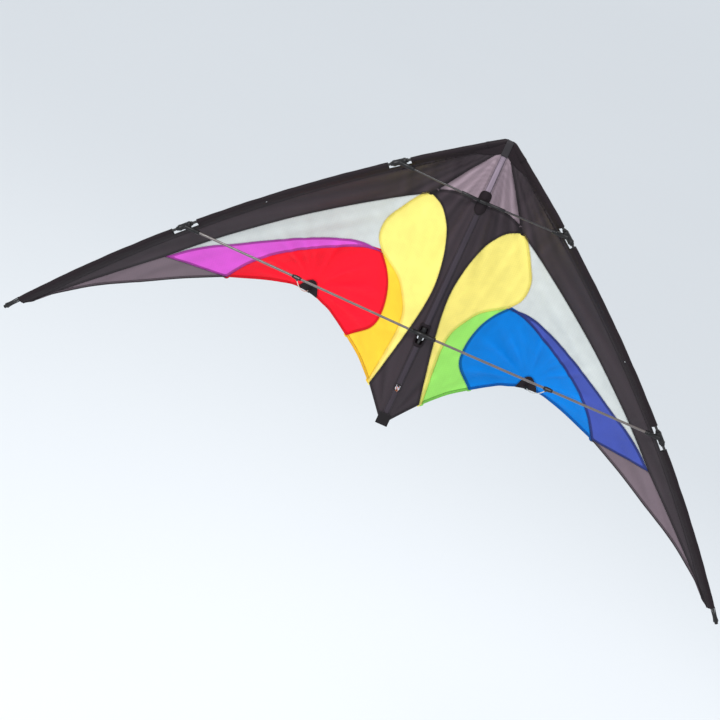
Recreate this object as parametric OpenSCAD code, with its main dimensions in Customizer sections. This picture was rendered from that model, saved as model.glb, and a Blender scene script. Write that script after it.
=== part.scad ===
/* Two-line delta kite: spine, leading edges, spreaders, stand-offs and a sewn panel sail.
   Millimetres. +Z runs up the spine to the nose, +Y is the back of the sail, and the origin
   is where the spine's axis passes the centre tee. One wing is drawn flat in the XZ plane,
   X away from the spine, then swept back about the spine and mirrored. */

/* [Sail] */
// Distance from wing tip to wing tip, at the sail's corners
span = 1700; // [1600:10:1800]
// Height of the point where the leading edges would meet, above the tee
nose_z = 480; // [470:2:490]
// Height of the wing tips
tip_z = -318; // [-330:2:-306]
// Radius of each leading edge's curve
leading_radius = 3850; // [3600:50:4200]
// Angle that each wing is swept back by
wing_sweep = 2; // [0:0.5:4]
// How far the stand-offs hold the sail behind the frame
billow = 145; // [120:5:170]
// Thickness of one panel's solid
cloth = 0.6; // [0.4:0.1:0.8]
// Number of strips that a panel's solid is made of, across its width
cloth_strips = 4; // [3:1:5]

/* [Rods] */
// Outer diameter of the leading edge tubes
leading_d = 6; // [5.5:0.5:6]
// Diameter of the spine
spine_d = 6; // [5:0.5:6]
// Diameter of the two lower spreaders
lower_d = 5.5; // [5:0.5:6]
// Diameter of the two upper spreaders
upper_d = 4.5; // [4:0.5:5]
// Diameter of the stand-off rods
stand_d = 2; // [1.5:0.5:2.5]
// How far the stand-off rods bow towards the tail
stand_bow = 12; // [4:1:18]

/* [Fittings] */
// Length of the centre tee's cross arms together
tee_w = 62; // [56:1:70]
// Length of the upper spreaders' joiner
joiner_w = 100; // [80:2:120]
// Opening in the sleeve at each upper connector
upper_window = 52; // [48:1:60]
// Opening in the sleeve at each lower connector
lower_window = 62; // [56:1:70]
// Length of a connector's body along the leading edge
connector_l = 30; // [26:1:34]
// Width of the tab that holds the spine's end
tab_w = 28; // [22:1:32]

/* [Hidden] */

rod_fn = 48;
arc_fn = 1440;
seam_gap = 1.5;

// The leading edge: one arc from the nose to the tip
tip_x = span / 2;
nose_point = [0, nose_z];
tip_point = [tip_x, tip_z];
chord = tip_point - nose_point;
half_chord = norm(chord) / 2;
leading_centre = (nose_point + tip_point) / 2
    + [chord.y, -chord.x] / norm(chord) * sqrt(leading_radius ^ 2 - half_chord ^ 2);
rod_radius = leading_radius - 5;
sleeve_bore = leading_d + 2;
sleeve_od = sleeve_bore + 1.6;
seam_w = 17;
seam_radius = leading_radius - seam_w;
sleeve_start_x = 14;
sleeve_end_x = tip_x - 8;
rod_start_x = 18;
rod_joint_x = 430;
rod_end_x = tip_x + 12;
rod_wall = 1;

// The sail's depth behind the frame
sail_back = 4;
stand_x = 272;
stand_z = -76;
spine_gap = 10;

// The spine and what is on it
spine_bottom = -227;
spine_top = 458;
pocket_bore = spine_d + 1.4;
pocket_od = pocket_bore + 1.6;
pocket_flap = 8;
tee_window = 44;
loop_z = -137;
loop_window = 18;

// Where the spreaders cross the spine and meet the leading edges
front_lower = -9;
front_upper = -10;
front_connector = -2.5;
upper_cross_z = 329;
upper_x = 196;
lower_x = 568;
fit_gap = 0.2;
socket_l = 22;

// Seams and edges of one wing, as [distance from the spine, height]
nose_base = [[spine_gap, 321], [58, 307], [97, 294]];
nose_side = [[13, 438], [97, 298]];
centre_yellow = [
    [112, 280], [84, 272], [67, 264], [46, 233], [30, 183],
    [20, 117], [22, 57], [33, -20], [48, -102], [62, -173]
];
yellow_silver = [[112, 280], [127, 270], [155, 222], [176, 176], [176, 132], [156, 101]];
yellow_green = [[156, 101], [105, 76], [79, 48], [60, 14], [55, -28], [59, -90], [67, -171]];
green_blue = [[156, 101], [129, 72], [110, 35], [101, -15], [109, -62], [154, -116]];
indigo_silver = [
    [156, 101], [210, 99], [270, 77], [334, 43], [400, 8],
    [466, -20], [502, -35], [544, -62], [587, -101]
];
indigo_blue = [
    [156, 101], [199, 88], [254, 60], [324, 20], [378, -19], [420, -63], [452, -113]
];
silver_black = [[112, 280], [217, 209], [349, 113], [460, 20], [523, -38], [587, -101]];
tip_black = [[587, -101], [668, -174], [765, -263], [826, -317]];
blue_trailing = [[154, -116], [217, -90], [278, -76], [342, -81], [452, -113]];
tip_trailing = [[452, -113], [534, -148], [627, -194], [700, -230], [770, -276], [828, -321]];

// Angle about the leading edge's centre at which an arc of radius r reaches x
function arc_angle(x, r) = acos((x - leading_centre.x) / r);
function arc_point(x, r) = [x, leading_centre.y + sqrt(r ^ 2 - (x - leading_centre.x) ^ 2)];
function in_plane(p, y) = [p.x, y, p.y];

// Sail depth: two slopes that meet in a rounded ridge through the stand-off
function seam_x(z) = leading_centre.x + sqrt(seam_radius ^ 2 - (z - leading_centre.y) ^ 2);
ridge = stand_x / seam_x(stand_z);
function sail_y(x, z) =
    let (
        s = min(max(x / seam_x(z), 0.001), 0.999),
        inner = s / ridge,
        outer = (1 - s) / (1 - ridge),
        ease = inner * outer * (2 / (inner ^ 3 + outer ^ 3)) ^ (1 / 3)
    )
    billow * ease * (nose_z - z) / (nose_z - stand_z) + sail_back * s;

// Smooth curve through the points of a list, as n + 1 points
function curve_at(p, k, t) =
    let (
        p0 = p[max(k - 1, 0)],
        p1 = p[k],
        p2 = p[k + 1],
        p3 = p[min(k + 2, len(p) - 1)]
    )
    (2 * p1 + (p2 - p0) * t + (2 * p0 - 5 * p1 + 4 * p2 - p3) * t ^ 2
        + (3 * p1 - p0 - 3 * p2 + p3) * t ^ 3) / 2;
function curve(p, n) = [
    for (i = [0:n])
        let (u = i / n * (len(p) - 1), k = min(floor(u), len(p) - 2))
        curve_at(p, k, u - k)
];
function joined(a, b) = concat(a, [for (i = [1:len(b) - 1]) b[i]]);
function part_of(path, first, last) = [for (i = [first:last]) path[i]];
function toward(a, b, d) = [for (i = [0:len(a) - 1]) a[i] + (b[i] - a[i]) / norm(b[i] - a[i]) * d];

// A sail panel between two edges with the same number of points, each edge drawn in by
// seam_gap. It lies on the sail, or in front of it by ahead.
module panel(edge_a, edge_b, ahead = 0, gap = seam_gap) {
    a = toward(edge_a, edge_b, gap);
    b = toward(edge_b, edge_a, gap);
    n = len(a) - 1;
    m = cloth_strips;
    row = m + 1;
    sheet = (n + 1) * row;
    middle = floor(n / 2);
    turned = cross(b[middle] - a[middle], a[middle + 1] - a[middle]) > 0;
    points = [
        for (layer = [0, 1])
            for (i = [0:n])
                for (j = [0:m])
                    let (p = a[i] + (b[i] - a[i]) * j / m)
                    [p.x, sail_y(p.x, p.y) - ahead + (layer - 0.5) * cloth, p.y]
    ];
    quads = concat(
        [for (i = [0:n - 1]) for (j = [0:m - 1])
            [i * row + j, i * row + j + 1, (i + 1) * row + j + 1, (i + 1) * row + j]],
        [for (i = [0:n - 1]) for (j = [0:m - 1])
            [sheet + i * row + j, sheet + (i + 1) * row + j,
             sheet + (i + 1) * row + j + 1, sheet + i * row + j + 1]],
        [for (i = [0:n - 1]) [i * row, (i + 1) * row, sheet + (i + 1) * row, sheet + i * row]],
        [for (i = [0:n - 1])
            [i * row + m, sheet + i * row + m, sheet + (i + 1) * row + m, (i + 1) * row + m]],
        [for (j = [0:m - 1]) [j, sheet + j, sheet + j + 1, j + 1]],
        [for (j = [0:m - 1])
            [n * row + j, n * row + j + 1, sheet + n * row + j + 1, sheet + n * row + j]]
    );
    triangles = [for (q = quads) for (t = [[q[0], q[1], q[2]], [q[0], q[2], q[3]]]) t];
    polyhedron(points, [for (t = triangles) turned ? t : [t[2], t[1], t[0]]]);
}

// Turns children from local Z to the direction v, at the point p
module along(p, v) {
    translate(p)
        rotate([0, acos(v.z / norm(v)), atan2(v.y, v.x)])
            children();
}

module rod_between(p, q, d) {
    along(p, q - p)
        cylinder(h = norm(q - p), d = d, $fn = rod_fn);
}

// Sweeps a profile along the leading edge's arc of radius r, from x0 to x1
module leading_sweep(r, x0, x1) {
    low = arc_angle(x1, r);
    translate([leading_centre.x, 0, leading_centre.y])
        rotate([90, 0, 0])
            rotate([0, 0, low])
                rotate_extrude(angle = arc_angle(x0, r) - low, $fn = arc_fn)
                    translate([r, 0])
                        children();
}

// Places children on the leading edge rod at x, with local Z along the rod to the tip
module on_leading_rod(x) {
    a = arc_angle(x, rod_radius);
    along(in_plane(arc_point(x, rod_radius), 0), [sin(a), 0, -cos(a)])
        children();
}

module right_wing() {
    rotate([0, 0, wing_sweep])
        children();
}

module left_wing() {
    mirror([1, 0, 0])
        right_wing()
            children();
}

// Axes of the spreaders, from the spine to the leading edge
lower_in = [0, front_lower, 0];
lower_out = in_plane(arc_point(lower_x, rod_radius), front_connector);
upper_in = [0, front_upper, upper_cross_z];
upper_out = in_plane(arc_point(upper_x, rod_radius), front_connector);
function unit(v) = v / norm(v);
lower_dir = unit(lower_out - lower_in);
upper_dir = unit(upper_out - upper_in);

// ---------- spine ----------

module spine_rod() {
    color([0.13, 0.12, 0.12])
        translate([0, 0, spine_bottom])
            cylinder(h = spine_top - spine_bottom, d = spine_d, $fn = rod_fn);
}

module pocket_length(low, high) {
    translate([0, 0, low])
        difference() {
            union() {
                cylinder(h = high - low, d = pocket_od, $fn = rod_fn);
                translate([-pocket_flap, -0.4, 0])
                    cube([2 * pocket_flap, 0.8, high - low]);
            }
            translate([0, 0, -1])
                cylinder(h = high - low + 2, d = pocket_bore, $fn = rod_fn);
        }
}

module spine_pocket() {
    color([0.2, 0.19, 0.2]) {
        pocket_length(spine_bottom + 24, loop_z - loop_window / 2);
        pocket_length(loop_z + loop_window / 2, -tee_window / 2);
        pocket_length(tee_window / 2, spine_top - 34);
    }
}

cap_l = 16;
cap_wall = 1.2;

module spine_end_cap() {
    color([0.1, 0.1, 0.1])
        translate([0, 0, spine_bottom - cap_wall - 0.1])
            difference() {
                cylinder(h = cap_l, d = spine_d + 2 * cap_wall, $fn = rod_fn);
                translate([0, 0, cap_wall])
                    cylinder(h = cap_l, d = spine_d + 0.1, $fn = rod_fn);
            }
}

// A strap folded over the top of the spine, its inner faces just clear of the rod
strap_t = 1;
strap_w = 12;
nose_strap_l = 28;

module nose_webbing() {
    inner = pocket_od / 2 + 0.2;
    color([0.16, 0.15, 0.16])
        translate([-strap_w / 2, 0, 0])
            for (side = [-1, 1])
                translate([0, side * (inner + strap_t / 2) - strap_t / 2, spine_top - nose_strap_l])
                    cube([strap_w, strap_t, nose_strap_l + 1]);
    color([0.16, 0.15, 0.16])
        translate([-strap_w / 2, -inner - strap_t, spine_top + 1])
            cube([strap_w, 2 * (inner + strap_t), strap_t]);
}

chafe_w = 26;
chafe_l = 57;

module chafe_patch() {
    straight = chafe_l - chafe_w;
    color([0.1, 0.1, 0.1])
        translate([0, -pocket_od / 2 - 0.2, upper_cross_z - 4 - straight / 2])
            rotate([90, 0, 0])
                linear_extrude(0.7)
                    hull() {
                        circle(d = chafe_w, $fn = 32);
                        translate([0, straight])
                            circle(d = chafe_w, $fn = 32);
                    }
}

patch_w = 13;
patch_l = 64;
hole_w = 9;
hole_l = 18;

module spine_window_patch() {
    color([0.14, 0.13, 0.14])
        translate([-patch_w / 2, tee_body_d / 2 + 0.3, -patch_l / 2])
            difference() {
                cube([patch_w, 0.8, patch_l]);
                translate([(patch_w - hole_w) / 2, -1, patch_l / 2 - 8 - hole_l])
                    cube([hole_w, 3, hole_l]);
            }
}

tee_body_l = 32;
tee_body_d = 12;
tee_arm_d = 10;

// A moulded tee: an upright sleeve on the spine and two arms with blind sockets
module centre_tee() {
    arm_l = tee_w / 2;
    color([0.08, 0.08, 0.09])
        difference() {
            union() {
                translate([0, 0, -tee_body_l / 2])
                    cylinder(h = tee_body_l, d = tee_body_d, $fn = rod_fn);
                translate([-5, front_lower, -5])
                    cube([10, -front_lower, 10]);
                for (flip = [0, 1])
                    mirror([flip, 0, 0])
                        right_wing()
                            along(lower_in - 4 * lower_dir, lower_dir)
                                cylinder(h = arm_l + 4, d = tee_arm_d, $fn = rod_fn);
            }
            translate([0, 0, -tee_body_l])
                cylinder(h = 2 * tee_body_l, d = spine_d + fit_gap, $fn = rod_fn);
            for (flip = [0, 1])
                mirror([flip, 0, 0])
                    right_wing()
                        along(lower_in + (arm_l - socket_l) * lower_dir, lower_dir)
                            cylinder(h = 2 * socket_l, d = lower_d + fit_gap, $fn = rod_fn);
        }
}

joiner_od = 7;
joiner_mid = 16;
joiner_socket = 38;

// A tube with a thicker middle and a blind socket at each end
module upper_spreader_joiner() {
    color([0.07, 0.07, 0.07])
        difference() {
            union() {
                translate(upper_in - [joiner_mid / 2, 0, 0])
                    rotate([0, 90, 0])
                        cylinder(h = joiner_mid, d = joiner_od + 1, $fn = rod_fn);
                for (flip = [0, 1])
                    mirror([flip, 0, 0])
                        right_wing()
                            along(upper_in + joiner_mid / 4 * upper_dir, upper_dir)
                                cylinder(
                                    h = joiner_w / 2 - joiner_mid / 4, d = joiner_od, $fn = rod_fn);
            }
            for (flip = [0, 1])
                mirror([flip, 0, 0])
                    right_wing()
                        along(upper_in + (joiner_w / 2 - joiner_socket) * upper_dir, upper_dir)
                            cylinder(h = 2 * joiner_socket, d = upper_d + fit_gap, $fn = rod_fn);
        }
}

cord_d = 1.5;

// A loop of thin line round the spine, with its knot at the front
module keel_tie_loop() {
    loop_radius = spine_d / 2 + cord_d / 2 + 0.2;
    color([0.8, 0.35, 0.2])
        translate([0, 0, loop_z]) {
            for (turn = [-1, 1])
                translate([0, 0, turn * (cord_d / 2 + 0.1)])
                    rotate_extrude($fn = rod_fn)
                        translate([loop_radius, 0])
                            circle(d = cord_d, $fn = 16);
            translate([0, -loop_radius - 2, 0])
                sphere(d = 4.5, $fn = 24);
        }
}

// ---------- tail ----------

tail_leaf_l = 30;
tab_hinge_z = spine_bottom - cap_wall - 4;
tab_front = 7;

// The fixed leaf of the tail strap, behind the spine's end and turned under it
module tail_patch() {
    back = pocket_od / 2 + 0.5;
    color([0.12, 0.11, 0.12]) {
        translate([-patch_w / 2, back, tab_hinge_z])
            cube([patch_w, 1, tail_leaf_l + 8]);
        translate([-patch_w / 2, -tab_front + 1.6, tab_hinge_z])
            cube([patch_w, back + tab_front - 1.6, 1.2]);
    }
}

// The free leaf, closed up the front with hook and loop
module tail_tab() {
    color([0.1, 0.1, 0.11])
        translate([-tab_w / 2, -tab_front, tab_hinge_z - 0.6])
            cube([tab_w, 1.2, tail_leaf_l]);
}

// ---------- sail panels of one wing ----------

module nose_cloth() {
    n = 6;
    panel(curve(nose_base, n), curve([[spine_gap, 438], [13.5, 436]], n));
}

module centre_cloth() {
    n = 20;
    panel(curve(centre_yellow, n), curve([[spine_gap - seam_gap, 319], [spine_gap - seam_gap, -222]], n));
}

module yellow_cloth() {
    outer = joined(curve(yellow_silver, 8), curve(yellow_green, 12));
    inner = curve(centre_yellow, 20);
    panel(part_of(inner, 1, 20), part_of(outer, 1, 20));
}

module crescent_cloth() {
    n = 12;
    panel(part_of(curve(yellow_green, n), 1, n), part_of(curve(green_blue, n), 1, n));
}

module flame_cloth() {
    outer = curve(indigo_blue, 18);
    inner = joined(curve(green_blue, 9), curve(blue_trailing, 9));
    panel(part_of(outer, 1, 17), part_of(inner, 1, 17));
}

module sweep_cloth() {
    n = 16;
    panel(part_of(curve(indigo_silver, n), 1, n), part_of(curve(indigo_blue, n), 1, n));
}

module silver_cloth() {
    outer = curve(silver_black, 18);
    inner = joined(curve(yellow_silver, 6), curve(indigo_silver, 12));
    panel(part_of(outer, 1, 17), part_of(inner, 1, 17));
}

module leading_cloth() {
    n = 28;
    first = 20;
    last = tip_x - 16;
    outer = [for (i = [0:n]) arc_point(first + (last - first) * i / n, seam_radius)];
    inner = joined(curve(nose_side, 4), curve(concat(silver_black, part_of(tip_black, 1, 3)), n - 4));
    panel(outer, inner);
}

module tip_cloth() {
    n = 12;
    panel(curve(tip_black, n), curve(tip_trailing, n));
}

module left_nose_panel() { color([0.5, 0.45, 0.48]) nose_cloth(); }
module right_nose_panel() { color([0.5, 0.45, 0.48]) nose_cloth(); }
module left_centre_panel() { color([0.2, 0.18, 0.19]) centre_cloth(); }
module right_centre_panel() { color([0.2, 0.18, 0.19]) centre_cloth(); }
module left_yellow_panel() { color([0.98, 0.92, 0.42]) yellow_cloth(); }
module right_yellow_panel() { color([0.98, 0.92, 0.42]) yellow_cloth(); }
module left_orange_panel() { color([1, 0.75, 0.15]) crescent_cloth(); }
module right_green_panel() { color([0.55, 0.88, 0.38]) crescent_cloth(); }
module left_red_panel() { color([0.95, 0.08, 0.15]) flame_cloth(); }
module right_blue_panel() { color([0, 0.45, 0.85]) flame_cloth(); }
module left_magenta_panel() { color([0.85, 0.35, 0.8]) sweep_cloth(); }
module right_indigo_panel() { color([0.28, 0.35, 0.72]) sweep_cloth(); }
module left_silver_panel() { color([0.8, 0.82, 0.81]) silver_cloth(); }
module right_silver_panel() { color([0.8, 0.82, 0.81]) silver_cloth(); }
module left_leading_edge_panel() { color([0.2, 0.18, 0.19]) leading_cloth(); }
module right_leading_edge_panel() { color([0.2, 0.18, 0.19]) leading_cloth(); }
module left_tip_panel() { color([0.42, 0.37, 0.4]) tip_cloth(); }
module right_tip_panel() { color([0.42, 0.37, 0.4]) tip_cloth(); }

// ---------- leading edge of one wing ----------

// Half the angle that a length covers on the leading edge
function half_span(l) = l / 2 * 180 / (PI * rod_radius);

// Clears the sleeve round a connector, but for the seam's inner edge
module sleeve_window(x, l) {
    middle = arc_angle(x, rod_radius);
    translate([leading_centre.x, 0, leading_centre.y])
        rotate([90, 0, 0])
            rotate([0, 0, middle - half_span(l)])
                rotate_extrude(angle = 2 * half_span(l), $fn = arc_fn)
                    translate([rod_radius - 9.5, -10])
                        square([20, 20]);
}

// The fabric tube round the rod and the doubled seam behind it
module leading_edge_sleeve() {
    color([0.16, 0.15, 0.16])
        difference() {
            leading_sweep(rod_radius, sleeve_start_x, sleeve_end_x) {
                circle(d = sleeve_od, $fn = rod_fn);
                translate([seam_radius - rod_radius, -sail_back - 0.6])
                    square([rod_radius - seam_radius, 1.2]);
            }
            leading_sweep(rod_radius, sleeve_start_x - 3, sleeve_end_x + 3)
                circle(d = sleeve_bore, $fn = rod_fn);
            sleeve_window(upper_x, upper_window);
            sleeve_window(lower_x, lower_window);
        }
}

module leading_tube(x0, x1) {
    color([0.1, 0.1, 0.1])
        leading_sweep(rod_radius, x0, x1)
            difference() {
                circle(d = leading_d, $fn = rod_fn);
                circle(d = leading_d - 2 * rod_wall, $fn = rod_fn);
            }
}

module upper_leading_rod() {
    leading_tube(rod_start_x, rod_joint_x - 0.1);
}

module lower_leading_rod() {
    leading_tube(rod_joint_x + 0.1, rod_end_x);
}

ferrule_half = 30;

module leading_rod_ferrule() {
    color([0.55, 0.55, 0.57])
        leading_sweep(rod_radius, rod_joint_x - ferrule_half, rod_joint_x + ferrule_half)
            circle(d = leading_d - 2 * rod_wall - fit_gap, $fn = rod_fn);
}

connector_d = 13;
connector_arm_d = 9.5;
connector_arm_l = 36;

// A moulded elbow: a sleeve on the leading edge rod and an arm that takes a spreader
module connector(x, end_point, dir, rod_d) {
    color([0.08, 0.08, 0.09])
        difference() {
            union() {
                on_leading_rod(x)
                    translate([0, 0, -connector_l / 2])
                        cylinder(h = connector_l, d = connector_d, $fn = rod_fn);
                along(end_point, -dir)
                    cylinder(h = connector_arm_l, d = connector_arm_d, $fn = rod_fn);
            }
            on_leading_rod(x)
                translate([0, 0, -connector_l])
                    cylinder(h = 2 * connector_l, d = leading_d + fit_gap, $fn = rod_fn);
            along(end_point - (connector_arm_l - socket_l) * dir, -dir)
                cylinder(h = 2 * socket_l, d = rod_d + fit_gap, $fn = rod_fn);
        }
}

module upper_connector() {
    connector(upper_x, upper_out, upper_dir, upper_d);
}

module lower_connector() {
    connector(lower_x, lower_out, lower_dir, lower_d);
}

module ring_on(outer_d, inner_d, l) {
    difference() {
        cylinder(h = l, d = outer_d, $fn = rod_fn);
        translate([0, 0, -1])
            cylinder(h = l + 2, d = inner_d, $fn = rod_fn);
    }
}

ring_l = 4;
clip_w = 12;

// Stoppers each side of both connectors and of the stand-off clip
module stopper_rings() {
    color([0.12, 0.12, 0.13]) {
        for (x = [upper_x, lower_x])
            on_leading_rod(x)
                for (z = [-connector_l / 2 - 0.4 - ring_l, connector_l / 2 + 0.4])
                    translate([0, 0, z])
                        ring_on(leading_d + 3.5, leading_d + fit_gap, ring_l);
        for (s = [-clip_w / 2 - 0.5 - ring_l, clip_w / 2 + 0.5])
            along(clip_point + s * lower_dir, lower_dir)
                ring_on(lower_d + 3, lower_d + fit_gap, ring_l);
    }
}

module lower_spreader_rod() {
    color([0.3, 0.27, 0.25])
        rod_between(
            lower_in + (tee_w / 2 + 0.5) * lower_dir,
            lower_out - (connector_arm_l - socket_l + 0.5) * lower_dir, lower_d);
}

module upper_spreader_rod() {
    color([0.25, 0.23, 0.22])
        rod_between(
            upper_in + (joiner_w / 2 + 0.5) * upper_dir,
            upper_out - (connector_arm_l - socket_l + 0.5) * upper_dir, upper_d);
}

// ---------- wing tip ----------

nock_l = 17;
nock_d = 8;
nock_socket = 10;
cord_r = 5.4;
elastic_d = 2;

module wing_tip_nock() {
    color([0.1, 0.1, 0.1])
        on_leading_rod(rod_end_x)
            translate([0, 0, -nock_socket])
                difference() {
                    cylinder(h = nock_l, d = nock_d, $fn = rod_fn);
                    translate([0, 0, -1])
                        cylinder(h = nock_socket + 1.1, d = leading_d + 0.1, $fn = rod_fn);
                    translate([-nock_d, -elastic_d / 2 - 0.3, nock_l - 5.4])
                        cube([2 * nock_d, elastic_d + 0.6, 6]);
                }
}

// Elastic loop from the tip of the sail, out past the rod and through the nock's slot
module tension_cord() {
    bend_z = nock_l - nock_socket - 1.6 - cord_r;
    run = bend_z + (rod_end_x - sleeve_end_x) / sin(arc_angle(rod_end_x, rod_radius)) - 1;
    color([0.15, 0.15, 0.16])
        on_leading_rod(rod_end_x)
            translate([0, 0, bend_z]) {
                for (x = [-cord_r, cord_r])
                    translate([x, 0, -run])
                        cylinder(h = run, d = elastic_d, $fn = 24);
                rotate([90, 0, 0])
                    rotate_extrude(angle = 180, $fn = rod_fn)
                        translate([cord_r, 0])
                            circle(d = elastic_d, $fn = 24);
            }
}

// ---------- stand-off of one wing ----------

clip_x = 299;
clip_point = lower_in + (clip_x / lower_dir.x) * lower_dir;
stand_foot = [stand_x, sail_y(stand_x, stand_z + 5) - 7, stand_z + 5];
stand_vector = stand_foot - clip_point;
// Axes of the stand-off: X along the spreader to the spine, Z to the foot, Y towards the nose
stand_ex = -lower_dir;
stand_ez = unit(stand_vector - (stand_vector * stand_ex) * stand_ex);
stand_ey = cross(stand_ez, stand_ex);
stand_lean = atan2(stand_vector * stand_ex, stand_vector * stand_ez);
stand_l = norm(stand_vector);
bow_r = (stand_l ^ 2 / 4 + stand_bow ^ 2) / (2 * stand_bow);
bow_half = asin(stand_l / 2 / bow_r);
boss_l = 14;
clip_d = 10;
foot_l = 12;

module at_stand_off() {
    x = stand_ex;
    y = stand_ey;
    z = stand_ez;
    translate(clip_point)
        multmatrix([[x.x, y.x, z.x, 0], [x.y, y.y, z.y, 0], [x.z, y.z, z.z, 0], [0, 0, 0, 1]])
            children();
}

// Places children on the bowed rod at the angle a from its middle, with local Z along it
module on_stand_off_rod(a) {
    at_stand_off()
        rotate([0, stand_lean, 0])
            translate([0, bow_r * cos(bow_half), stand_l / 2])
                rotate([-a, 0, 0])
                    translate([0, -bow_r, 0])
                        children();
}

// Angle that a length covers on the bowed rod
function bow_angle(l) = l / bow_r * 180 / PI;

// A clip that turns on the spreader and holds the stand-off rod in its boss
module stand_off_clip() {
    boss_at = boss_l - 5;
    color([0.08, 0.08, 0.09])
        difference() {
            union() {
                at_stand_off()
                    translate([-clip_w / 2, 0, 0])
                        rotate([0, 90, 0])
                            cylinder(h = clip_w, d = clip_d, $fn = rod_fn);
                on_stand_off_rod(bow_angle(boss_at) - bow_half)
                    translate([0, 0, -boss_at])
                        cylinder(h = boss_l, d = stand_d + 4, $fn = rod_fn);
            }
            at_stand_off()
                translate([-clip_w, 0, 0])
                    rotate([0, 90, 0])
                        cylinder(h = 2 * clip_w, d = lower_d + 2 * fit_gap, $fn = rod_fn);
            at_stand_off()
                translate([-clip_w, -2.2, -clip_d])
                    cube([2 * clip_w, 4.4, clip_d]);
            on_stand_off_rod(bow_angle(boss_at) - bow_half)
                translate([0, 0, 4.5 - boss_at])
                    cylinder(h = boss_l, d = stand_d + fit_gap, $fn = rod_fn);
        }
}

// A thin rod bowed towards the tail: an arc of a large circle
module stand_off_rod() {
    start = bow_angle(5.5);
    color([0.9, 0.88, 0.82])
        at_stand_off()
            rotate([0, stand_lean, 0])
                translate([0, bow_r * cos(bow_half), stand_l / 2])
                    rotate([0, -90, 0])
                        rotate([0, 0, -90 - bow_half + start])
                            rotate_extrude(angle = 2 * bow_half - start, $fn = arc_fn)
                                translate([bow_r, 0])
                                    circle(d = stand_d, $fn = 24);
}

// A socket on the trailing edge, slotted towards the tail so that the rod can leave it
module stand_off_socket() {
    wall = 1.8;
    color([0.1, 0.1, 0.1])
        on_stand_off_rod(bow_half - bow_angle(foot_l / 2))
            translate([0, 0, -foot_l / 2])
                difference() {
                    cylinder(h = foot_l + 2.5, d = stand_d + 1 + 2 * wall, $fn = rod_fn);
                    translate([0, 0, -1])
                        cylinder(h = foot_l + 2, d = stand_d + 1, $fn = rod_fn);
                    translate([-stand_d / 2 - 0.5, -10, -1])
                        cube([stand_d + 1, 10, foot_l + 2]);
                }
}

patch_x = [248, 300];
patch_ahead = 3;

module trailing_edge_patch() {
    n = 6;
    top = [[262, -40], [272, -36], [284, -40]];
    bottom = [[patch_x[0], -76], [272, -73], [patch_x[1], -72]];
    color([0.1, 0.1, 0.1])
        panel(curve(top, n), curve(bottom, n), patch_ahead, 0);
}

// ---------- drawing ----------

spine_rod();
spine_pocket();
spine_end_cap();
nose_webbing();
chafe_patch();
spine_window_patch();
centre_tee();
upper_spreader_joiner();
keel_tie_loop();
tail_patch();
tail_tab();

left_wing() left_nose_panel();
left_wing() left_centre_panel();
left_wing() left_yellow_panel();
left_wing() left_orange_panel();
left_wing() left_red_panel();
left_wing() left_magenta_panel();
left_wing() left_silver_panel();
left_wing() left_leading_edge_panel();
left_wing() left_tip_panel();
left_wing() leading_edge_sleeve();  // left_leading_edge_sleeve
left_wing() upper_leading_rod();  // left_upper_leading_rod
left_wing() lower_leading_rod();  // left_lower_leading_rod
left_wing() leading_rod_ferrule();  // left_leading_rod_ferrule
left_wing() upper_connector();  // left_upper_connector
left_wing() lower_connector();  // left_lower_connector
left_wing() stopper_rings();  // left_stopper_rings
left_wing() lower_spreader_rod();  // left_lower_spreader_rod
left_wing() upper_spreader_rod();  // left_upper_spreader_rod
left_wing() trailing_edge_patch();  // left_trailing_edge_patch
left_wing() stand_off_socket();  // left_stand_off_socket
left_wing() tension_cord();  // left_tension_cord
left_wing() wing_tip_nock();  // left_wing_tip_nock
left_wing() stand_off_rod();  // left_stand_off_rod
left_wing() stand_off_clip();  // left_stand_off_clip

right_wing() right_nose_panel();
right_wing() right_centre_panel();
right_wing() right_yellow_panel();
right_wing() right_green_panel();
right_wing() right_blue_panel();
right_wing() right_indigo_panel();
right_wing() right_silver_panel();
right_wing() right_leading_edge_panel();
right_wing() right_tip_panel();
right_wing() leading_edge_sleeve();  // right_leading_edge_sleeve
right_wing() upper_leading_rod();  // right_upper_leading_rod
right_wing() lower_leading_rod();  // right_lower_leading_rod
right_wing() leading_rod_ferrule();  // right_leading_rod_ferrule
right_wing() upper_connector();  // right_upper_connector
right_wing() lower_connector();  // right_lower_connector
right_wing() stopper_rings();  // right_stopper_rings
right_wing() lower_spreader_rod();  // right_lower_spreader_rod
right_wing() upper_spreader_rod();  // right_upper_spreader_rod
right_wing() trailing_edge_patch();  // right_trailing_edge_patch
right_wing() stand_off_socket();  // right_stand_off_socket
right_wing() tension_cord();  // right_tension_cord
right_wing() wing_tip_nock();  // right_wing_tip_nock
right_wing() stand_off_rod();  // right_stand_off_rod
right_wing() stand_off_clip();  // right_stand_off_clip
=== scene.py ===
import math

import bpy
import numpy as np
from mathutils import Matrix, Vector
from mathutils.geometry import delaunay_2d_cdt


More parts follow.
